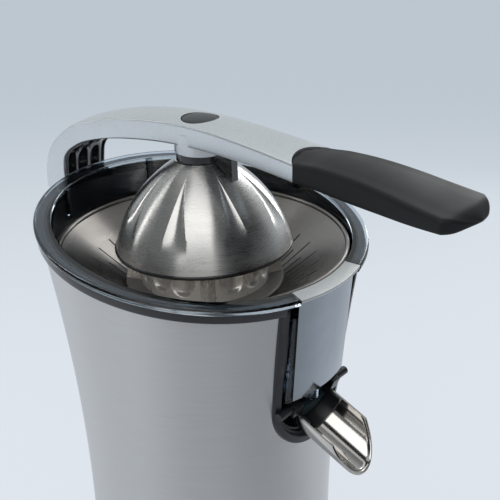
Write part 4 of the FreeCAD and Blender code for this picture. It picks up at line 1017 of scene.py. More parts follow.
@dataclass
class JuicePath:
    """Clear bowl with its lip, duct and nozzle, the mirror panel and the silver cap."""

    finishes: Finishes
    rim: Rim
    lip_radius: float = 0.093
    lip_depth: float = 0.0029
    lip_rounds: Corner = (0.0008, 0.0014, 0.0010)
    wall_radius: float = 0.0854
    low_radius: float = 0.0808
    wall: float = 0.002
    floor_level: float = 0.198
    floor_rise: float = 0.0065
    floor_thick: float = 0.002
    floor_round: float = 0.003
    chimney_radius: float = 0.014
    chimney_bore: float = 0.0112
    chimney_height: float = 0.004
    chimney_round: float = 0.0006
    chimney_foot: float = 0.001
    notch_half: float = 0.026
    notch_drop: float = 0.0052
    notch_edge: float = 0.0005
    notch_gap: float = 0.00001
    rib_turn: float = math.radians(23.7)
    rib_half: float = 0.0019
    rib_depth: float = 0.0022
    rib_lap: float = 0.0004
    rib_round: float = 0.001
    rib_bottom: float = 0.2435
    duct_back: float = 0.070
    duct_front: float = 0.0869
    duct_lean: float = 0.0042
    duct_half: float = 0.025
    duct_low: float = 0.172
    duct_high: float = 0.226
    duct_round: float = 0.0016
    duct_chamfer: float = 0.001
    nozzle_x: float = 0.0762
    nozzle_radius: float = 0.0062
    nozzle_tip: float = 0.0046
    nozzle_bore: float = 0.003
    nozzle_length: float = 0.007
    panel_half: float = 0.0235
    panel_low: float = 0.174
    panel_high: float = 0.2360
    panel_gap: float = 0.00005
    panel_thick: float = 0.001
    panel_rounds: Pair = (0.0003, 0.0004)
    cap_half: float = 0.0257
    cap_outer: float = 0.0928
    cap_inner: float = 0.0838
    cap_drop: float = 0.0002
    cap_thick: float = 0.0017
    cap_rounds: Pair = (0.0004, 0.0006)
    columns: int = 200
    notch_columns: int = 30
    front_columns: int = 48
    duct_columns: int = 24

    def bowl_loop(self, turn: float, lipped: bool) -> list[Vector]:
        """Closed section of the bowl.

        Args:
            turn: angle of the section about the upright axis.
            lipped: whether the lip is there, as it is all round but at the cap.

        Returns:
            Points of the section.
        """
        inner = self.wall_radius - self.wall
        outer = self.rim.plan_radius(self.lip_radius, turn) if lipped else self.wall_radius
        top = 0.0 if lipped else -self.notch_drop
        under = -self.lip_depth if lipped else -self.notch_drop - self.notch_edge
        along = math.cos(turn)
        inner_round, outer_round, under_round = self.lip_rounds
        floor = self.floor_level + self.floor_rise
        chimney_top = floor + self.floor_thick + self.chimney_height
        corners = (
            (inner, self.rim.level(inner * along, top), inner_round),
            (outer, self.rim.level(outer * along, top), outer_round),
            (outer, self.rim.level(outer * along, under), under_round),
            (self.wall_radius, self.rim.level(self.wall_radius * along, under), 0.0),
            (self.low_radius, self.floor_level, self.floor_round),
            (self.chimney_bore, floor, 0.0),
            (self.chimney_bore, chimney_top, self.chimney_round),
            (self.chimney_radius, chimney_top, self.chimney_round),
            (self.chimney_radius, floor + self.floor_thick, self.chimney_foot),
            (self.low_radius - self.wall, self.floor_level + self.floor_thick, self.floor_round),
        )
        return [polar(radius, turn, level) for radius, level in rounded(corners)]

    def front_at(self, level: float) -> float:
        """Radius of the duct's front at a level; it leans with the shell."""
        share = (self.duct_high - level) / (self.duct_high - self.duct_low)
        return self.duct_front - self.duct_lean * share

    def duct_outline(self, inset: float, level: float) -> list[Vector]:
        """Outline of the duct: flat back and sides, and a front that follows the bowl.

        Args:
            inset: distance inside the duct's outside.
            level: height over the table.

        Returns:
            Points of the outline.
        """
        back, half, front = self.duct_back + inset, self.duct_half - inset, self.front_at(level) - inset
        edge = math.asin(half / front)
        bow = [(front * math.cos(turn), front * math.sin(turn), 0.0)
               for turn in arc(-edge, edge, self.duct_columns)]
        for end in (0, -1):
            bow[end] = (*bow[end][:2], self.duct_round)
        corners = [(back, half, self.duct_round), (back, -half, self.duct_round)] + bow
        return [Vector((x, y, level)) for x, y in rounded(corners, steps=3)]

    def nozzle_loop(self, outline: Sequence[Vector], radius: float, level: float) -> list[Vector]:
        """Circle round the nozzle that a duct outline can be joined to.

        Args:
            outline: points of the duct's outline, whose directions the circle's points take.
            radius: radius of the circle.
            level: height over the table.

        Returns:
            Points of the circle.
        """
        centre = Vector((self.nozzle_x, 0, level))
        ways = [Vector((point.x - centre.x, point.y, 0)).normalized() for point in outline]
        return [centre + way * radius for way in ways]

    def duct(self, solid: Solid) -> None:
        """Adds the hollow duct with its nozzle as one closed skin.

        Args:
            solid: solid of the bowl.
        """
        outer = self.duct_outline(0.0, self.duct_low)
        inner = self.duct_outline(self.wall, self.duct_low)
        tip = self.duct_low - self.nozzle_length
        solid.loft([
            self.duct_outline(0.0, self.duct_high),
            self.duct_outline(0.0, self.duct_low + self.duct_chamfer),
            self.duct_outline(self.duct_chamfer, self.duct_low),
            self.nozzle_loop(outer, self.nozzle_radius, self.duct_low),
            self.nozzle_loop(outer, self.nozzle_tip, tip),
            self.nozzle_loop(inner, self.nozzle_bore, tip),
            self.nozzle_loop(inner, self.nozzle_bore, self.duct_low + self.wall),
            self.duct_outline(self.wall, self.duct_low + self.wall),
            self.duct_outline(self.wall, self.duct_high - self.wall),
        ])

    def ribs(self, solid: Solid) -> None:
        """Adds the two upright ribs on the bowl's rear inner wall.

        Args:
            solid: solid of the bowl.
        """
        inner = self.wall_radius - self.wall
        root, crest = inner + self.rib_lap, inner - self.rib_depth
        half = self.rib_half
        section = rounded(((root, half, 0), (root, -half, 0), (crest, -half, self.rib_round),
                           (crest, half, self.rib_round)), steps=3)
        for turn in (math.pi - self.rib_turn, math.pi + self.rib_turn):
            out = Vector((math.cos(turn), math.sin(turn), 0))
            side = Vector((-out.y, out.x, 0))
            top = self.rim.level(inner * math.cos(turn), -self.rib_lap)
            solid.loft([[out * radius + side * across + Vector((0, 0, level)) for radius, across in section]
                        for level in (self.rib_bottom, top)])

    def bowl(self) -> None:
        """Builds the clear bowl."""
        edge = math.asin(self.notch_half / self.lip_radius)
        loops = [self.bowl_loop(turn, True) for turn in arc(edge, 2 * math.pi - edge, self.columns)]
        loops += [self.bowl_loop(turn, False)
                  for turn in arc(-edge + self.notch_gap, edge - self.notch_gap, self.notch_columns)]
        solid = Solid().loft(loops, closed=True)
        self.duct(solid)
        self.ribs(solid)
        item = solid.build("clear_bowl", self.finishes["clear_plastic"])
        publish(item, "housing", "clear_plastic", "juice_bowl")

    def panel(self) -> None:
        """Builds the mirror panel in front of the duct."""
        low, high = (self.front_at(level) + self.panel_gap for level in (self.panel_low, self.panel_high))
        edge = math.asin(self.panel_half / high)
        back_round, front_round = self.panel_rounds
        section = rounded(((low, self.panel_low, back_round),
                           (low + self.panel_thick, self.panel_low, front_round),
                           (high + self.panel_thick, self.panel_high, front_round),
                           (high, self.panel_high, back_round)))
        loops = [[polar(radius, turn, level) for radius, level in section]
                 for turn in arc(-edge, edge, self.front_columns)]
        item = Solid().loft(loops).build("mirror_panel", self.finishes["panel_mirror"])
        publish(item, "housing", "panel_mirror", "spout_panel")

    def cap(self) -> None:
        """Builds the silver cap that closes the lip over the spout."""
        edge = math.asin(self.cap_half / self.cap_outer)
        low_round, top_round = self.cap_rounds
        section = band((self.cap_inner, self.cap_outer), (-self.cap_thick, -self.cap_drop),
                       (low_round, low_round, top_round, top_round))
        loops = [[self.rim.place(radius, turn, rise) for radius, rise in section]
                 for turn in arc(-edge, edge, self.front_columns)]
        item = Solid().loft(loops).build("silver_cap", self.finishes["cap_silver"])
        publish(item, "housing", "satin_silver", "spout_cap")

    def build(self) -> None:
        """Builds all pieces of the juice path."""
        self.bowl()
        self.panel()
        self.cap()


@dataclass
class Strainer:
    """Sheet steel strainer with a rolled rim and a ring of fine slots."""

    finishes: Finishes
    radius: float = 0.082
    rim_level: float = 0.237
    roll: float = 0.0013
    roll_start: float = math.radians(-60)
    roll_end: float = math.radians(215)
    roll_steps: int = 12
    seam_rolls: float = 2.4
    seam_drop: float = 0.0012
    sheet: float = 0.0008
    knee_radius: float = 0.049
    knee_level: float = 0.2125
    knee_round: float = 0.004
    knee_shift: Pair = (0.0004, 0.0002)
    floor_level: float = 0.210
    floor_inset: Pair = (0.004, 0.003)
    floor_round: float = 0.002
    hole: float = 0.015
    slots: int = 64
    slot_start: float = 0.0474
    slot_reach: Pair = (0.0645, 0.0565)
    slot_half: float = 0.0005
    slot_levels: Pair = (0.200, 0.236)
    slot_steps: int = 6
    columns: int = 180
    crease: float = 40.0

    def profile(self) -> list[Pair]:
        """Closed section of the sheet, with its rolled rim.

        Returns:
            Points as radius and level.
        """
        centre = self.radius - self.roll
        bead = [(centre + self.roll * math.cos(turn), self.rim_level + self.roll * math.sin(turn))
                for turn in arc(self.roll_start, self.roll_end, self.roll_steps)]
        under, over = self.floor_level, self.floor_level + self.sheet
        over_inset, under_inset = self.floor_inset
        inside = rounded((
            (self.radius - self.seam_rolls * self.roll, self.rim_level - self.seam_drop, 0),
            (self.knee_radius, self.knee_level + self.sheet, self.knee_round),
            (self.knee_radius - over_inset, over, self.floor_round), (self.hole, over, 0),
            (self.hole, under, 0), (self.knee_radius - under_inset, under, self.floor_round),
            (self.knee_radius + self.knee_shift[0], self.knee_level - self.knee_shift[1], self.knee_round)))
        return bead + inside

    def slot(self, turn: float, reach: float) -> list[Vector]:
        """Plan of one slot that runs outwards, with round ends.

        Args:
            turn: direction of the slot.
            reach: radius at which it ends.

        Returns:
            Points of the plan, at the table's level.
        """
        plan = []
        for radius, first in ((reach, -math.pi / 2), (self.slot_start, math.pi / 2)):
            plan += [polar(radius, turn, 0) + polar(self.slot_half, turn + bend, 0)
                     for bend in arc(first, first + math.pi, self.slot_steps)]
        return plan

    def build(self) -> None:
        """Builds the strainer and cuts its slots, long and short by turns."""
        item = Solid().lathe(self.profile(), self.columns).build("slotted_strainer",
                                                                 self.finishes["strainer_steel"])
        tool = Solid()
        for index in range(self.slots):
            plan = self.slot(2 * math.pi * (index + 0.5) / self.slots, self.slot_reach[index % 2])
            tool.loft([[spot + Vector((0, 0, level)) for spot in plan] for level in self.slot_levels])
        combine(item, tool.build("slots"), Joining.CUT, self.crease)
        publish(item, "housing", "dome_steel", "strainer")


@dataclass
class Reamer:
    """Fluted juicing cone with four sharp fins, on its grey skirt."""

    finishes: Finishes
    base: float = 0.216
    height: float = 0.046
    radius: float = 0.0365
    straight: float = 0.017
    taper: float = 0.002
    arc_radius: float = 0.073
    tip_radius: float = 0.0004
    top_share: float = 0.9995
    smooth_radius: float = 0.012
    fin_turn: float = math.radians(-45)
    fin_count: int = 4
    fin_reach: float = 0.0080
    fin_width: float = math.radians(6.0)
    fin_power: float = 1.15
    fin_full: float = 0.25
    fin_loss: float = 0.85
    scoops: int = 3
    scoop_depth: float = 0.0026
    scoop_width: float = math.radians(10.8)
    scoop_low: float = 0.0026
    scoop_round: float = 0.0065
    scoop_edge: float = 0.0022
    scoop_full: float = 0.3
    scoop_loss: float = 0.8
    skirt_radius: float = 0.045
    skirt_thick: float = 0.0016
    skirt_gap: float = 0.0001
    skirt_rounds: Pair = (0.0006, 0.0008)
    hub_radius: float = 0.009
    columns: int = 384
    rows: int = 72
    skirt_columns: int = 160
    crease: float = 26.0

    def body(self, rise: float) -> float:
        """Radius of the plain cone.

        Args:
            rise: height over the cone's base.

        Returns:
            The radius, on the straight part or on the arc over it.
        """
        if rise <= self.straight:
            return self.radius - self.taper * rise / self.straight
        start = Vector((self.radius - self.taper, self.straight))
        half = (Vector((self.tip_radius, self.height)) - start) / 2
        side = Vector((-half.y, half.x)).normalized()
        centre = start + half + side * math.sqrt(self.arc_radius ** 2 - half.length_squared)
        reach = math.sqrt(max(0.0, self.arc_radius ** 2 - (rise - centre.y) ** 2))
        return max(self.tip_radius, centre.x + reach)

    def relief(self, turn: float, rise: float) -> float:
        """Height of the fins and depth of the scoops at a place on the cone.

        Args:
            turn: angle about the upright axis.
            rise: height over the cone's base.

        Returns:
            Distance outwards from the plain cone.
        """
        share = rise / self.height
        pitch = 2 * math.pi / self.fin_count
        local = (turn - self.fin_turn + pitch / 2) % pitch - pitch / 2
        fin = max(0.0, 1 - abs(local) / self.fin_width) ** self.fin_power
        ridge_fade = 1 - self.fin_loss * ease((share - self.fin_full) / (1 - self.fin_full))
        ridge = self.fin_reach * ridge_fade * fin
        step = pitch / (self.scoops + 1)
        number = round(local / step)
        across = (local - number * step) / self.scoop_width
        if not number or abs(across) >= 1:
            return ridge
        foot = self.scoop_low + self.scoop_round * (1 - math.sqrt(1 - across * across))
        fade = 1 - self.scoop_loss * ease((share - self.scoop_full) / (1 - self.scoop_full))
        return ridge - self.scoop_depth * fade * (1 - across * across) * ease((rise - foot) / self.scoop_edge)

    def cone(self) -> None:
        """Builds the fluted cone."""
        turns = arc(0, 2 * math.pi, self.columns)[:-1]
        rows = []
        for rise in arc(0.0, self.height * self.top_share, self.rows):
            plain = self.body(rise)
            fade = min(1.0, plain / self.smooth_radius)
            radii = [max(self.tip_radius, plain + self.relief(turn, rise) * fade) for turn in turns]
            rows.append([polar(radius, turn, self.base + rise) for radius, turn in zip(radii, turns)])
        solid = Solid().grid(rows, wrap_columns=True).cap(rows[0]).cap(rows[-1])
        item = solid.build("fluted_reamer", self.finishes["reamer_steel"], crease=self.crease)
        publish(item, "drive", "polished_steel", "reamer")

    def skirt(self) -> None:
        """Builds the round skirt under the cone."""
        profile = band((self.hub_radius, self.skirt_radius),
                       (self.base - self.skirt_thick, self.base - self.skirt_gap), (0, *self.skirt_rounds, 0))
        item = Solid().lathe(profile, self.skirt_columns).build("reamer_plate", self.finishes["skirt_grey"])
        publish(item, "drive", "skirt_plastic", "reamer_skirt")

    def build(self) -> None:
        """Builds both pieces."""
        self.cone()
        self.skirt()


@dataclass
class PressDome:
    """Fluted press dome with its gasket, and the black hub that holds it to the arm."""

    finishes: Finishes
    edge_level: float = 0.2375
    tilt: float = math.radians(-2.0)
    radius: float = 0.050
    height: float = 0.0485
    flat: float = 0.0135
    arc_radius: float = 0.080
    wall: float = 0.0022
    flutes: int = 8
    flute_turn: float = math.radians(22.5)
    flute_wide: float = math.radians(11.0)
    flute_least: float = math.radians(0.25)
    flute_power: float = 0.85
    flute_low: float = 0.08
    flute_full: float = 0.46
    flute_top: float = 0.90
    flute_slope: float = 0.42
    swell_height: float = 0.0005
    swell_fades: Pair = (0.3, 0.2)
    gasket_height: float = 0.0022
    gasket_width: float = 0.0032
    gasket_lap: float = 0.0003
    gasket_gap: float = 0.00005
    gasket_rounds: tuple[float, ...] = (0.0006, 0.001, 0.0008, 0.0)
    hub_radius: float = 0.0125
    hub_top: float = 0.0530
    hub_gap: float = 0.0001
    hub_round: float = 0.0006
    stud_radius: float = 0.005
    nose_reach: float = 0.0255
    nose_half: float = 0.0024
    nose_lap: float = 0.004
    nose_steps: int = 6
    rows: int = 64
    steps_between: int = 18
    steps_across: int = 20
    gasket_columns: int = 180
    hub_columns: int = 96
    crease: float = 14.0

    def place(self) -> Matrix:
        """Frame of the dome's lower edge."""
        return Matrix.Translation((0, 0, self.edge_level)) @ Matrix.Rotation(self.tilt, 4, "Y")

    def centre(self) -> Vector:
        """Finds the centre of the section's arc.

        Returns:
            Radius and height of the centre.
        """
        start = Vector((self.radius, 0.0))
        half = (Vector((self.flat, self.height)) - start) / 2
        side = Vector((-half.y, half.x)).normalized()
        return start + half + side * math.sqrt(self.arc_radius ** 2 - half.length_squared)

    def section(self, share: float, inset: float) -> tuple[Vector, Vector]:
        """Point of the dome's section.

        Args:
            share: place between the edge (0) and the flat top (1).
            inset: distance inside the outer skin.

        Returns:
            The point and the direction outwards, each as radius and height.
        """
        centre = self.centre()
        first = math.atan2(-centre.y, self.radius - centre.x)
        last = math.atan2(self.height - centre.y, self.flat - centre.x)
        turn = first + (last - first) * share
        out = Vector((math.cos(turn), math.sin(turn)))
        return centre + out * (self.arc_radius - inset), out

    def level_at(self, radius: float) -> float:
        """Height of the plain dome at a radius."""
        centre = self.centre()
        return centre.y + math.sqrt(self.arc_radius ** 2 - (radius - centre.x) ** 2)

    def flute_half(self, share: float) -> float:
        """Half width of a flute as an angle: pointed at the top, wide below."""
        rise = max(0.0, (self.flute_top - share) / (self.flute_top - self.flute_low))
        return max(self.flute_wide * min(1.0, rise) ** self.flute_power, self.flute_least)

    def flute_row(self, share: float) -> list[Pair]:
        """Spreads one row's points, closer to each other on the flutes.

        Args:
            share: place of the row between the edge and the top.

        Returns:
            Angle of each point, and its place across the flute, 1 at the flute's edge and beyond it.
        """
        pitch = 2 * math.pi / self.flutes
        half = self.flute_half(share)
        spots = []
        for index in range(self.flutes):
            middle = self.flute_turn + index * pitch
            spots += [(middle + across * half, across) for across in arc(-1, 1, self.steps_across)[:-1]]
            between = arc(middle + half, middle + pitch - half, self.steps_between)
            spots += [(turn, 1.0) for turn in between[:-1]]
        return spots

    def dent(self, share: float, across: float, radius: float) -> float:
        """Depth of a flute at a height, a place across it and a radius, 0 outside it."""
        fade = ease((share - self.flute_low) / (self.flute_full - self.flute_low))
        return self.flute_slope / 2 * self.flute_half(share) * radius * (1 - across * across) * fade

    def swell(self, share: float, turn: float) -> float:
        """Slight fullness of the lobes between the flutes.

        Args:
            share: place between the edge and the top.
            turn: angle about the dome's axis.

        Returns:
            Distance outwards.
        """
        low, high = self.swell_fades
        fade = ease((share - self.flute_low) / low) * ease((1.0 - share) / high)
        return self.swell_height * fade * (0.5 - 0.5 * math.cos(self.flutes * (turn - self.flute_turn)))

    def skin(self, inset: float) -> list[list[Vector]]:
        """Makes the outer or the inner skin.

        Args:
            inset: distance inside the outer skin.

        Returns:
            Rows of points, from the edge to the top.
        """
        rows = []
        for share in arc(0.0, 1.0, self.rows):
            point, out = self.section(share, inset)
            row = []
            for turn, across in self.flute_row(share):
                depth = self.dent(share, across, point.x) + self.swell_height - self.swell(share, turn)
                spot = point - out * depth
                row.append(polar(spot.x, turn, spot.y))
            rows.append(row)
        return rows

    def dome(self) -> None:
        """Builds the fluted dome as a closed shell."""
        outer, inner = self.skin(0.0), self.skin(self.wall)
        solid = Solid()
        for rows in (outer, inner[::-1], (outer[0], inner[0]), (outer[-1], inner[-1])):
            solid.grid(rows, wrap_columns=True)
        item = solid.moved(self.place()).build("fluted_dome", self.finishes["dome_steel"], crease=self.crease)
        publish(item, "arm", "dome_steel", "press_dome")

    def gasket(self) -> None:
        """Builds the black bead under the dome's edge."""
        profile = band((self.radius - self.gasket_width, self.radius + self.gasket_lap),
                       (-self.gasket_height, -self.gasket_gap), self.gasket_rounds)
        solid = Solid().lathe(profile, self.gasket_columns).moved(self.place())
        publish(solid.build("dome_bead", self.finishes["gloss_black"]), "arm", "dark_silicone", "dome_gasket")

    def hub(self) -> None:
        """Builds the hub with its nose towards the grip."""
        low = self.height + self.hub_gap
        profile = rounded((
            (self.stud_radius, self.hub_top, 0), (self.hub_radius, self.hub_top, self.hub_round),
            (self.hub_radius, low, 0), (self.stud_radius, low, 0)))
        item = Solid().lathe(profile, self.hub_columns).build("dome_clasp", self.finishes["gloss_black"])
        start, top = self.hub_radius - self.nose_lap, self.hub_top - self.hub_gap
        under = [(radius, self.level_at(radius) + self.hub_gap)
                 for radius in arc(self.nose_reach, self.flat, self.nose_steps)]
        side = [(start, top), (self.nose_reach, top), *under, (start, low)]
        nose = Solid().loft([[Vector((x, across, level)) for x, level in side]
                             for across in (-self.nose_half, self.nose_half)])
        combine(item, nose.build("nose"), Joining.UNITE)
        item.data.transform(self.place())
        publish(item, "arm", "black_plastic", "dome_hub")

    def build(self) -> None:
        """Builds all pieces of the dome."""
        self.dome()
        self.gasket()
        self.hub()


@dataclass(frozen=True)
class Station:
    """Section of the arm or the grip, between a lower and an upper edge point in the plane of the arm."""

    low: Pair
    high: Pair
    half: float
    bow_share: float = 0.85
    bow_steps: int = 12

    def spots(self, outline: Sequence[Pair]) -> list[Vector]:
        """Places an outline in the plane of the section.

        Args:
            outline: places across the arm and up from its lower edge.

        Returns:
            Points of the outline.
        """
        low, high = (Vector((x, 0, level)) for x, level in (self.low, self.high))
        up = (high - low).normalized()
        return [low + Vector((0, across, 0)) + up * rise for across, rise in outline]

    def loop(self, crown: float, corner: float, steps: int) -> list[Vector]:
        """Section outline.

        Args:
            crown: rise of the top's middle.
            corner: rounding of the four corners.
            steps: pieces of each corner.

        Returns:
            Points of the closed outline.
        """
        half, height = self.half, math.dist(self.low, self.high)
        bow = [(across * (half - corner), height + crown * (1 - across * across), 0.0)
               for across in arc(self.bow_share, -self.bow_share, self.bow_steps)]
        corners = [(-half, 0.0, corner), (half, 0.0, corner), (half, height / 2, 0.0), (half, height, corner),
                   *bow, (-half, height, corner), (-half, height / 2, 0.0)]
        return self.spots(rounded(corners, steps))


def blended(values: Sequence[Sequence[float]], steps: int) -> list[list[float]]:
    """Passes a smooth curve through rows of numbers.

    Args:
        values: rows of numbers.
        steps: new rows for each gap.

    Returns:
        Rows along the curve.
    """
    rows = []
    count = len(values)
    for index in range(count - 1):
        before, first, last, after = (values[max(0, min(count - 1, index + step))] for step in (-1, 0, 1, 2))
        for t in arc(0.0, 1.0, steps)[:-1]:
            rows.append([0.5 * (2 * b + (c - a) * t + (2 * a - 5 * b + 4 * c - d) * t ** 2
                                + (3 * b - a - 3 * c + d) * t ** 3)
                         for a, b, c, d in zip(before, first, last, after)])
    return rows + [list(values[-1])]


# Lower and upper edge of the arm over the rim's height, each as X and level, and its half width.
ARM_LINE = (
    (-0.0976, -0.0030, -0.1154, -0.0030, 0.0164), (-0.0976, 0.0110, -0.1142, 0.0090, 0.0168),
    (-0.0952, 0.0215, -0.1096, 0.0215, 0.0170), (-0.0875, 0.0282, -0.1000, 0.0324, 0.0168),
    (-0.0757, 0.0340, -0.0835, 0.0430, 0.0162), (-0.0520, 0.0402, -0.0550, 0.0514, 0.0154),
    (-0.0200, 0.0448, -0.0210, 0.0564, 0.0144), (0.0115, 0.0465, 0.0115, 0.0577, 0.0141),
    (0.0420, 0.0460, 0.0430, 0.0559, 0.0147), (0.0640, 0.0445, 0.0650, 0.0539, 0.0154),
    (0.0820, 0.0431, 0.0830, 0.0522, 0.0162))

# X, lower and upper level over the rim's height, and half width of the grip.
GRIP_LINE = (
    (0.062, 0.0444, 0.0540, 0.0153), (0.075, 0.0433, 0.0535, 0.0159), (0.088, 0.0425, 0.0545, 0.0165),
    (0.106, 0.0413, 0.0542, 0.0176), (0.124, 0.0406, 0.0525, 0.0187), (0.140, 0.0401, 0.0502, 0.0197),
    (0.156, 0.0403, 0.0481, 0.0204), (0.172, 0.0408, 0.0464, 0.0206))


@dataclass
class LeverArm:
    """Silver arm with its black inner cover, the soft grip and the dome's release button."""

    finishes: Finishes
    rim_height: float = 0.250
    crown: float = 0.0016
    corner: float = 0.0011
    corner_steps: int = 4
    line_steps: int = 8
    hinge: Pair = (-0.106, 0.228)
    pin_radius: float = 0.00405
    pin_cut: float = 0.05
    knuckle_radius: float = 0.0094
    knuckle_half: float = 0.013
    tongue_gap: float = 0.0008
    tongue_lap: float = 0.004
    boss_radius: float = 0.0145
    boss_low: float = 0.2912
    boss_high: float = 0.3024
    cut_low: float = 0.25
    cut_high: float = 0.33
    cover_thick: float = 0.0014
    cover_inset: float = 0.0022
    cover_end: float = -0.075
    cover_gap: float = 0.0001
    cover_edge: float = 0.6
    cover_draw: float = 0.97
    cover_columns: int = 48
    cover_waves: int = 3
    flute_depth: float = 0.0009
    grip_start: float = 0.067
    grip_arc: float = 0.0213
    grip_gap: float = 0.0001
    grip_tip: float = 0.157
    grip_tip_half: float = 0.0204
    grip_tip_arc: float = 0.026
    grip_sink: float = 0.0026
    grip_crown: float = 0.0013
    grip_crown_half: float = 0.012
    grip_corner: float = 0.0034
    grip_corner_shares: Pair = (0.8, 0.45)
    grip_corner_steps: int = 6
    grip_steps: int = 24
    grip_tail: Pair = (0.010, 0.012)
    grip_first_turns: Pair = (0.02, 0.08)
    grip_places_each: tuple[int, int, int] = (14, 60, 22)
    grip_crease: float = 50.0
    button_radius: float = 0.010
    button_bore: float = 0.0004
    button_room: float = 0.00035
    button_top: float = 0.3094
    button_thick: float = 0.0024
    button_travel: float = 0.0028
    button_crown: float = 0.0009
    button_draw: float = 0.985
    button_bow: float = 1.4
    button_last_turn: float = 0.004
    button_steps: int = 14
    pillar_columns: int = 96
    tail_columns: int = 160
    bar_columns: int = 64

    def stations(self) -> list[Station]:
        """Sections along the arm."""
        return [Station((low_x, self.rim_height + low), (high_x, self.rim_height + high), half)
                for low_x, low, high_x, high, half in blended(ARM_LINE, self.line_steps)]

    def pillar(self, radius: float, x: float, levels: Pair, columns: int) -> Piece:
        """Makes an upright round bar in the plane of the arm.

        Args:
            radius: radius of the bar.
            x: place of its axis.
            levels: lower and upper end.
            columns: pieces round it.

        Returns:
            The bar, as a tool.
        """
        turns = arc(0, 2 * math.pi, columns)[:-1]
        loops = [[Vector((x, 0, 0)) + polar(radius, turn, level) for turn in turns] for level in levels]
        return Solid().loft(loops).build("pillar")

    def cross_bar(self, radius: float, half: float) -> Piece:
        """Makes a round bar across the arm at its hinge.

        Args:
            radius: radius of the bar.
            half: half of its length.

        Returns:
            The bar, as a tool.
        """
        x, level = self.hinge
        turns = arc(0, 2 * math.pi, self.bar_columns)[:-1]
        ring = [(x + radius * math.cos(turn), level + radius * math.sin(turn)) for turn in turns]
        loops = [[Vector((along, across, up)) for along, up in ring] for across in (-half, half)]
        return Solid().loft(loops).build("cross_bar")

    def tongue(self) -> Piece:
        """Makes the block between the knuckle and the arm's rear end.

        Returns:
            The block, as a tool.
        """
        x, level = self.hinge
        end_x, end = ARM_LINE[0][:2]
        return Solid().box((x - self.knuckle_radius, -self.knuckle_half, level),
                           (end_x - self.tongue_gap, self.knuckle_half,
                            self.rim_height + end + self.tongue_lap)).build("tongue")

    def casting(self) -> None:
        """Builds the silver arm with its knuckle and boss, and cuts what the other pieces need."""
        loops = [station.loop(self.crown, self.corner, self.corner_steps) for station in self.stations()]
        item = Solid().loft(loops).build("lever_casting", self.finishes["silver_paint"])
        recess = self.button_top - self.button_thick - self.button_travel
        for joining, tool in (
                (Joining.UNITE, self.tongue()),
                (Joining.UNITE, self.cross_bar(self.knuckle_radius, self.knuckle_half)),
                (Joining.UNITE, self.pillar(self.boss_radius, 0.0, (self.boss_low, self.boss_high),
                                            self.pillar_columns)),
                (Joining.CUT, self.cross_bar(self.pin_radius, self.pin_cut)),
                (Joining.CUT, self.pillar(self.button_radius + self.button_room, 0.0, (recess, self.cut_high),
                                          self.pillar_columns)),
                (Joining.CUT, self.pillar(self.grip_arc, self.grip_start + self.grip_arc,
                                          (self.cut_low, self.cut_high), self.tail_columns))):
            combine(item, tool, joining)
        publish(item, "arm", "satin_silver", "arm_casting")

    def cover_loop(self, station: Station) -> list[Vector]:
        """Section of the inner cover: flat on the arm, with shallow flutes on its free side.

        Args:
            station: the arm's section at that place.

        Returns:
            Points of the section.
        """
        half = station.half - self.cover_inset
        edge = self.cover_thick * self.cover_edge
        outline = [(-half, -self.cover_gap), (-half, -edge)]
        for across in arc(-1, 1, self.cover_columns):
            wave = 0.5 - 0.5 * math.cos(self.cover_waves * math.pi * across) if abs(across) < 1 else 0.0
            outline.append((across * self.cover_draw * half, self.flute_depth * wave - self.cover_thick))
        return station.spots(outline + [(half, -edge), (half, -self.cover_gap)])

    def cover(self) -> None:
        """Builds the gloss black cover inside the arm's bend."""
        loops = [self.cover_loop(station) for station in self.stations() if station.low[0] <= self.cover_end]
        item = Solid().loft(loops).build("inner_cover", self.finishes["gloss_black"])
        publish(item, "arm", "gloss_black", "arm_inner_cover")

    def tip_centre(self) -> float:
        """Place along X of the centre of the grip's rounded tip."""
        return self.grip_tip - math.sqrt(self.grip_tip_arc ** 2 - self.grip_tip_half ** 2)

    def grip_half(self, x: float, wide: float) -> float:
        """Half width of the grip, drawn in by its round tail and tip.

        Args:
            x: place along the grip.
            wide: half width before it is drawn in.

        Returns:
            The half width.
        """
        half = wide
        middle = self.grip_start + self.grip_arc
        if x < middle:
            half = min(half, math.sqrt(max(0.0, (self.grip_arc - self.grip_gap) ** 2 - (middle - x) ** 2)))
        if x > self.grip_tip:
            half = min(half, math.sqrt(max(0.0, self.grip_tip_arc ** 2 - (x - self.tip_centre()) ** 2)))
        return half

    def grip_places(self, end: float) -> list[float]:
        """Places of the grip's sections, closer to each other at both ends.

        Args:
            end: place of the tip along X.

        Returns:
            Places along X.
        """
        start = self.grip_start + self.grip_gap
        tail, after = self.grip_tail
        tail_turn, tip_turn = self.grip_first_turns
        in_tail, in_middle, in_tip = self.grip_places_each
        places = [start + tail * (1 - math.cos(turn)) for turn in arc(tail_turn, math.pi / 2, in_tail)]
        places += arc(start + after, self.grip_tip, in_middle)
        return places + [self.grip_tip + (end - self.grip_tip) * math.sin(turn)
                         for turn in arc(tip_turn, math.pi / 2 - tail_turn, in_tip)]

    def grip_loop(self, rows: Sequence[Sequence[float]], x: float, end: float) -> list[Vector]:
        """Section of the grip.

        Args:
            rows: the grip's line, in small steps.
            x: place of the section along X.
            end: place of the tip along X.

        Returns:
            Points of the section.
        """
        index = next((i for i, row in enumerate(rows) if row[0] > x), len(rows) - 1)
        before, after = rows[index - 1], rows[index]
        share = (x - before[0]) / (after[0] - before[0])
        low, high, wide = (a + (b - a) * share for a, b in zip(before[1:], after[1:]))
        half = self.grip_half(x, wide)
        sink = self.grip_sink * ease((x - self.grip_tip) / (end - self.grip_tip)) ** 2
        across, upright = self.grip_corner_shares
        corner = min(self.grip_corner, half * across, (high - low) * upright)
        station = Station((x, self.rim_height + low + sink), (x, self.rim_height + high - sink), half)
        return station.loop(self.grip_crown * min(1.0, half / self.grip_crown_half), corner,
                            self.grip_corner_steps)

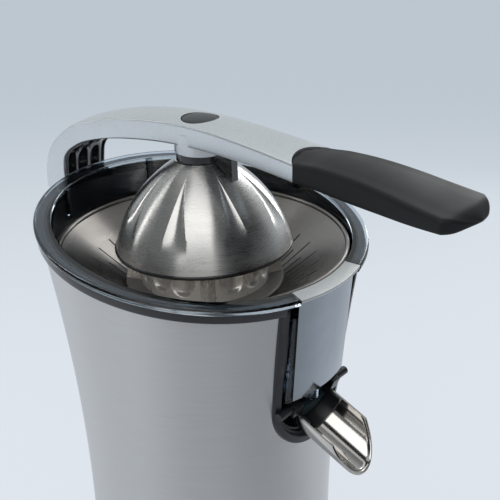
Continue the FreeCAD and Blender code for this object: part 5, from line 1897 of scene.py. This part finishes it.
    def grip(self) -> None:
        """Builds the soft grip with its round tail and rounded tip."""
        rows = blended(GRIP_LINE, self.grip_steps)
        end = self.tip_centre() + self.grip_tip_arc
        solid = Solid().loft([self.grip_loop(rows, x, end) for x in self.grip_places(end)])
        item = solid.build("soft_grip", self.finishes["grip_black"], crease=self.grip_crease)
        publish(item, "arm", "grip_rubber", "grip")

    def button(self) -> None:
        """Builds the release button on top of the dome's axis."""
        radius, low = self.button_radius, self.button_top - self.button_thick
        profile = [(self.button_bore, low), (radius, low), (radius, self.button_top - 2 * self.button_crown)]
        profile += [(radius * math.sin(turn) * self.button_draw,
                     self.button_top - self.button_crown * (1 - math.cos(turn)) * self.button_bow)
                    for turn in arc(math.pi / 2, self.button_last_turn, self.button_steps)]
        item = Solid().lathe(profile, self.pillar_columns).build("release_cap", self.finishes["button_grey"])
        publish(item, "button", "gloss_black", "release_button")

    def build(self) -> None:
        """Builds all pieces of the arm."""
        self.casting()
        self.cover()
        self.grip()
        self.button()


@dataclass
class Chute:
    """Polished half-pipe chute that tilts under the nozzle.

    Each step of its lip is a distance behind the end, a distance inside the pipe and a rounding.
    """

    finishes: Finishes
    place: Pair = (0.076, 0.163)
    slope: float = math.radians(22.0)
    radius: float = 0.0165
    sheet: float = 0.0012
    back: float = -0.002
    top: float = 0.029
    tip: float = 0.047
    lip: tuple[Corner, ...] = ((0.003, 0.0, 0.001), (0.0012, 0.0007, 0.0008), (0.0, 0.0005, 0.0006))
    end_round: float = 0.0006
    columns: int = 48

    def frame(self) -> Matrix:
        """Frame at the middle of the chute's mouth, sloping down to the front."""
        return Matrix.Translation((self.place[0], 0, self.place[1])) @ Matrix.Rotation(self.slope, 4, "Y")

    def build(self) -> None:
        """Builds the chute with its slanted, rounded mouth."""
        loops = []
        inner = self.radius - self.sheet
        for turn in arc(math.pi, 2 * math.pi, self.columns):
            end = self.top - (self.tip - self.top) * math.sin(turn)
            lip = [(end - back, inner - inset, size) for back, inset, size in self.lip]
            section = rounded(((self.back, inner, 0), *lip, (end, self.radius, self.end_round),
                               (self.back, self.radius, 0)))
            across, up = math.cos(turn), math.sin(turn)
            loops.append([Vector((x, radius * across, radius * up)) for x, radius in section])
        item = Solid().loft(loops).moved(self.frame()).build("half_pipe", self.finishes["chute_steel"])
        publish(item, "chute_unit", "polished_steel", "chute")


@dataclass(frozen=True)
class SoftBox:
    """Rectangular lamp that faces a point on the object's axis."""

    name: str
    place: Vector
    target_level: float
    size: Pair
    power: float

    def build(self) -> None:
        """Adds the lamp, which the camera doesn't see."""
        data = bpy.data.lights.new(self.name, "AREA")
        data.shape = "RECTANGLE"
        data.size, data.size_y = self.size
        data.energy = self.power
        item = bpy.data.objects.new(self.name, data)
        item.visible_camera = False
        facing = (Vector((0, 0, self.target_level)) - self.place).to_track_quat("-Z", "Y")
        item.matrix_world = Matrix.Translation(self.place) @ facing.to_matrix().to_4x4()
        bpy.context.scene.collection.objects.link(item)


@dataclass
class Studio:
    """Floor, light and the camera at the photograph's viewing angle."""

    camera_place: Place = (0.33370, -0.35747, 0.45928)
    heading: float = math.radians(130.0)
    pitch: float = math.radians(25.11)
    roll: float = math.radians(-0.63)
    lens: float = 68.4
    sensor: float = 36.0
    clip: float = 0.01
    near_colour: Colour = (0.785, 0.830, 0.895)
    far_colour: Colour = (0.565, 0.633, 0.697)
    # Painted shade: a dark zone on one side of the floor, beyond the object, that the steel reflects as
    # shade.
    painted_shade_colour: Colour = (0.14, 0.15, 0.165)
    fade_range: Pair = (0.12, 1.14)
    floor_size: float = 30.0
    floor_glow: float = 0.85
    painted_shade_share: float = 0.5
    painted_shade_turn: float = math.radians(-27.0)
    painted_shade_range: Pair = (0.22, 0.98)
    painted_shade_reach: Pair = (0.06, 0.22)
    room_light: float = 0.20
    room_colour: Colour = (0.92, 0.97, 1.0)
    back_light: float = 0.62
    back_range: Pair = (0.1, 0.85)
    dark_turn: float = math.radians(12.0)
    dark_range: Pair = (0.6, 0.9)
    dark_share: float = 0.06
    lamps: tuple[SoftBox, ...] = (
        SoftBox("key", polar(1.0, math.radians(-60), 1.36), 0.22, (1.35, 1.35), 9.0),
        SoftBox("overhead", Vector((-0.3, 0.3, 1.7)), 0.22, (1.2, 1.2), 2.5),
        SoftBox("left_strip", polar(0.7, math.radians(-152), 0.6), 0.25, (0.07, 0.6), 0.5),
        SoftBox("right_strip", polar(0.7, math.radians(95), 0.45), 0.25, (0.09, 0.8), 1.1))

    def camera(self) -> None:
        """Sets up the camera."""
        data = bpy.data.cameras.new("view")
        data.sensor_width = self.sensor
        data.lens = self.lens
        data.clip_start = self.clip
        item = bpy.data.objects.new("view", data)
        turns = ((self.heading - math.pi / 2, "Z"), (math.pi / 2 - self.pitch, "X"), (self.roll, "Z"))
        place = Matrix.Translation(self.camera_place)
        for angle, axis in turns:
            place = place @ Matrix.Rotation(angle, 4, axis)
        item.matrix_world = place
        bpy.context.scene.collection.objects.link(item)
        bpy.context.scene.camera = item

    def floor_tone(self, graph: Graph) -> Socket:
        """Colours the floor: lighter near the camera, and painted shade on one side, a soft grey zone that
        the steel reflects like the dark side of a room.

        Args:
            graph: tree of the floor's material.

        Returns:
            Socket with the colour.
        """
        point = graph.point()
        way = graph.add("VectorMath", operation="NORMALIZE")
        reach = graph.add("VectorMath", operation="LENGTH")
        for node in (way, reach):
            graph.join(point, node.inputs[0])
        # Painted shade: the floor turns towards a dark grey on one side, more so further from the object.
        painted_shade_fade = graph.ramp(reach.outputs["Value"], self.painted_shade_reach, (0, self.painted_shade_share), True)
        side = graph.side(way.outputs["Vector"], self.painted_shade_turn, self.painted_shade_range)
        fade = graph.side(point, self.heading, self.fade_range)
        plain = graph.blend(fade, self.near_colour, self.far_colour)
        return graph.blend(graph.math("MULTIPLY", side, painted_shade_fade), plain, self.painted_shade_colour)

    def floor(self) -> None:
        """Makes the pale floor, which glows a little where it is seen and still takes a soft shadow."""
        half = self.floor_size / 2
        loop = [Vector((x * half, y * half, 0)) for x, y in ((-1, -1), (1, -1), (1, 1), (-1, 1))]
        graph = Graph("pale_floor")
        graph.tree.nodes.remove(graph.surface)
        tone = self.floor_tone(graph)
        rays = graph.add("LightPath").outputs
        direct = graph.math("MAXIMUM", rays["Is Camera Ray"], rays["Is Glossy Ray"])
        seen = graph.math("MAXIMUM", direct, rays["Is Transmission Ray"])
        shader = graph.add("MixShader")
        graph.join(graph.math("MULTIPLY", seen, self.floor_glow), shader.inputs[0])
        for index, kind in enumerate(("BsdfDiffuse", "Emission"), start=1):
            node = graph.add(kind)
            graph.join(tone, node.inputs["Color"])
            graph.join(node.outputs[0], shader.inputs[index])
        graph.join(shader.outputs[0], graph.tree.nodes["Material Output"].inputs["Surface"])
        Solid().cap(loop).build("floor", graph.material)

    def sky(self) -> None:
        """Sets up the world: a dim room with a bright backdrop and one dark side."""
        world = bpy.data.worlds.new("studio")
        bpy.context.scene.world = world
        graph = WorldGraph(world)
        way = graph.add("TexCoord").outputs["Generated"]
        back = graph.side(way, self.heading, self.back_range)
        dark = graph.side(way, self.dark_turn, self.dark_range)
        level = graph.math("MULTIPLY", graph.ramp(back, (0, 1), (self.room_light, self.back_light)),
                           graph.ramp(dark, (0, 1), (1, self.dark_share)))
        graph.join(level, graph.surface.inputs["Strength"])
        graph.set(Color=(*self.room_colour, 1))

    def build(self) -> None:
        """Builds the whole studio."""
        bpy.context.scene.view_settings.view_transform = "Standard"
        self.camera()
        self.floor()
        self.sky()
        for lamp in self.lamps:
            lamp.build()


def dress_nodes(finishes: Finishes) -> None:
    """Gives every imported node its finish.

    Args:
        finishes: the finishes to choose from.
    """
    for finish, nodes in NODE_FINISH.items():
        for node in nodes:
            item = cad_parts[node]
            item.data.materials.clear()
            item.data.materials.append(finishes[finish])
            LOG.info("%s is finished in %s", node, finish)


def main() -> None:
    """Builds the studio and the pieces in order."""
    logging.basicConfig(level=logging.INFO, format="%(message)s")
    finishes = Finishes()
    rim = Rim()
    opening = SpoutOpening()
    Studio().build()
    dress_nodes(finishes)
    housing = Housing(finishes, rim, opening)
    housing.build()
    SpoutFrame(finishes, opening, housing.radius).build()
    JuicePath(finishes, rim).build()
    Strainer(finishes).build()
    Reamer(finishes).build()
    PressDome(finishes).build()
    LeverArm(finishes).build()
    Chute(finishes).build()


if __name__ == "__main__":
    main()
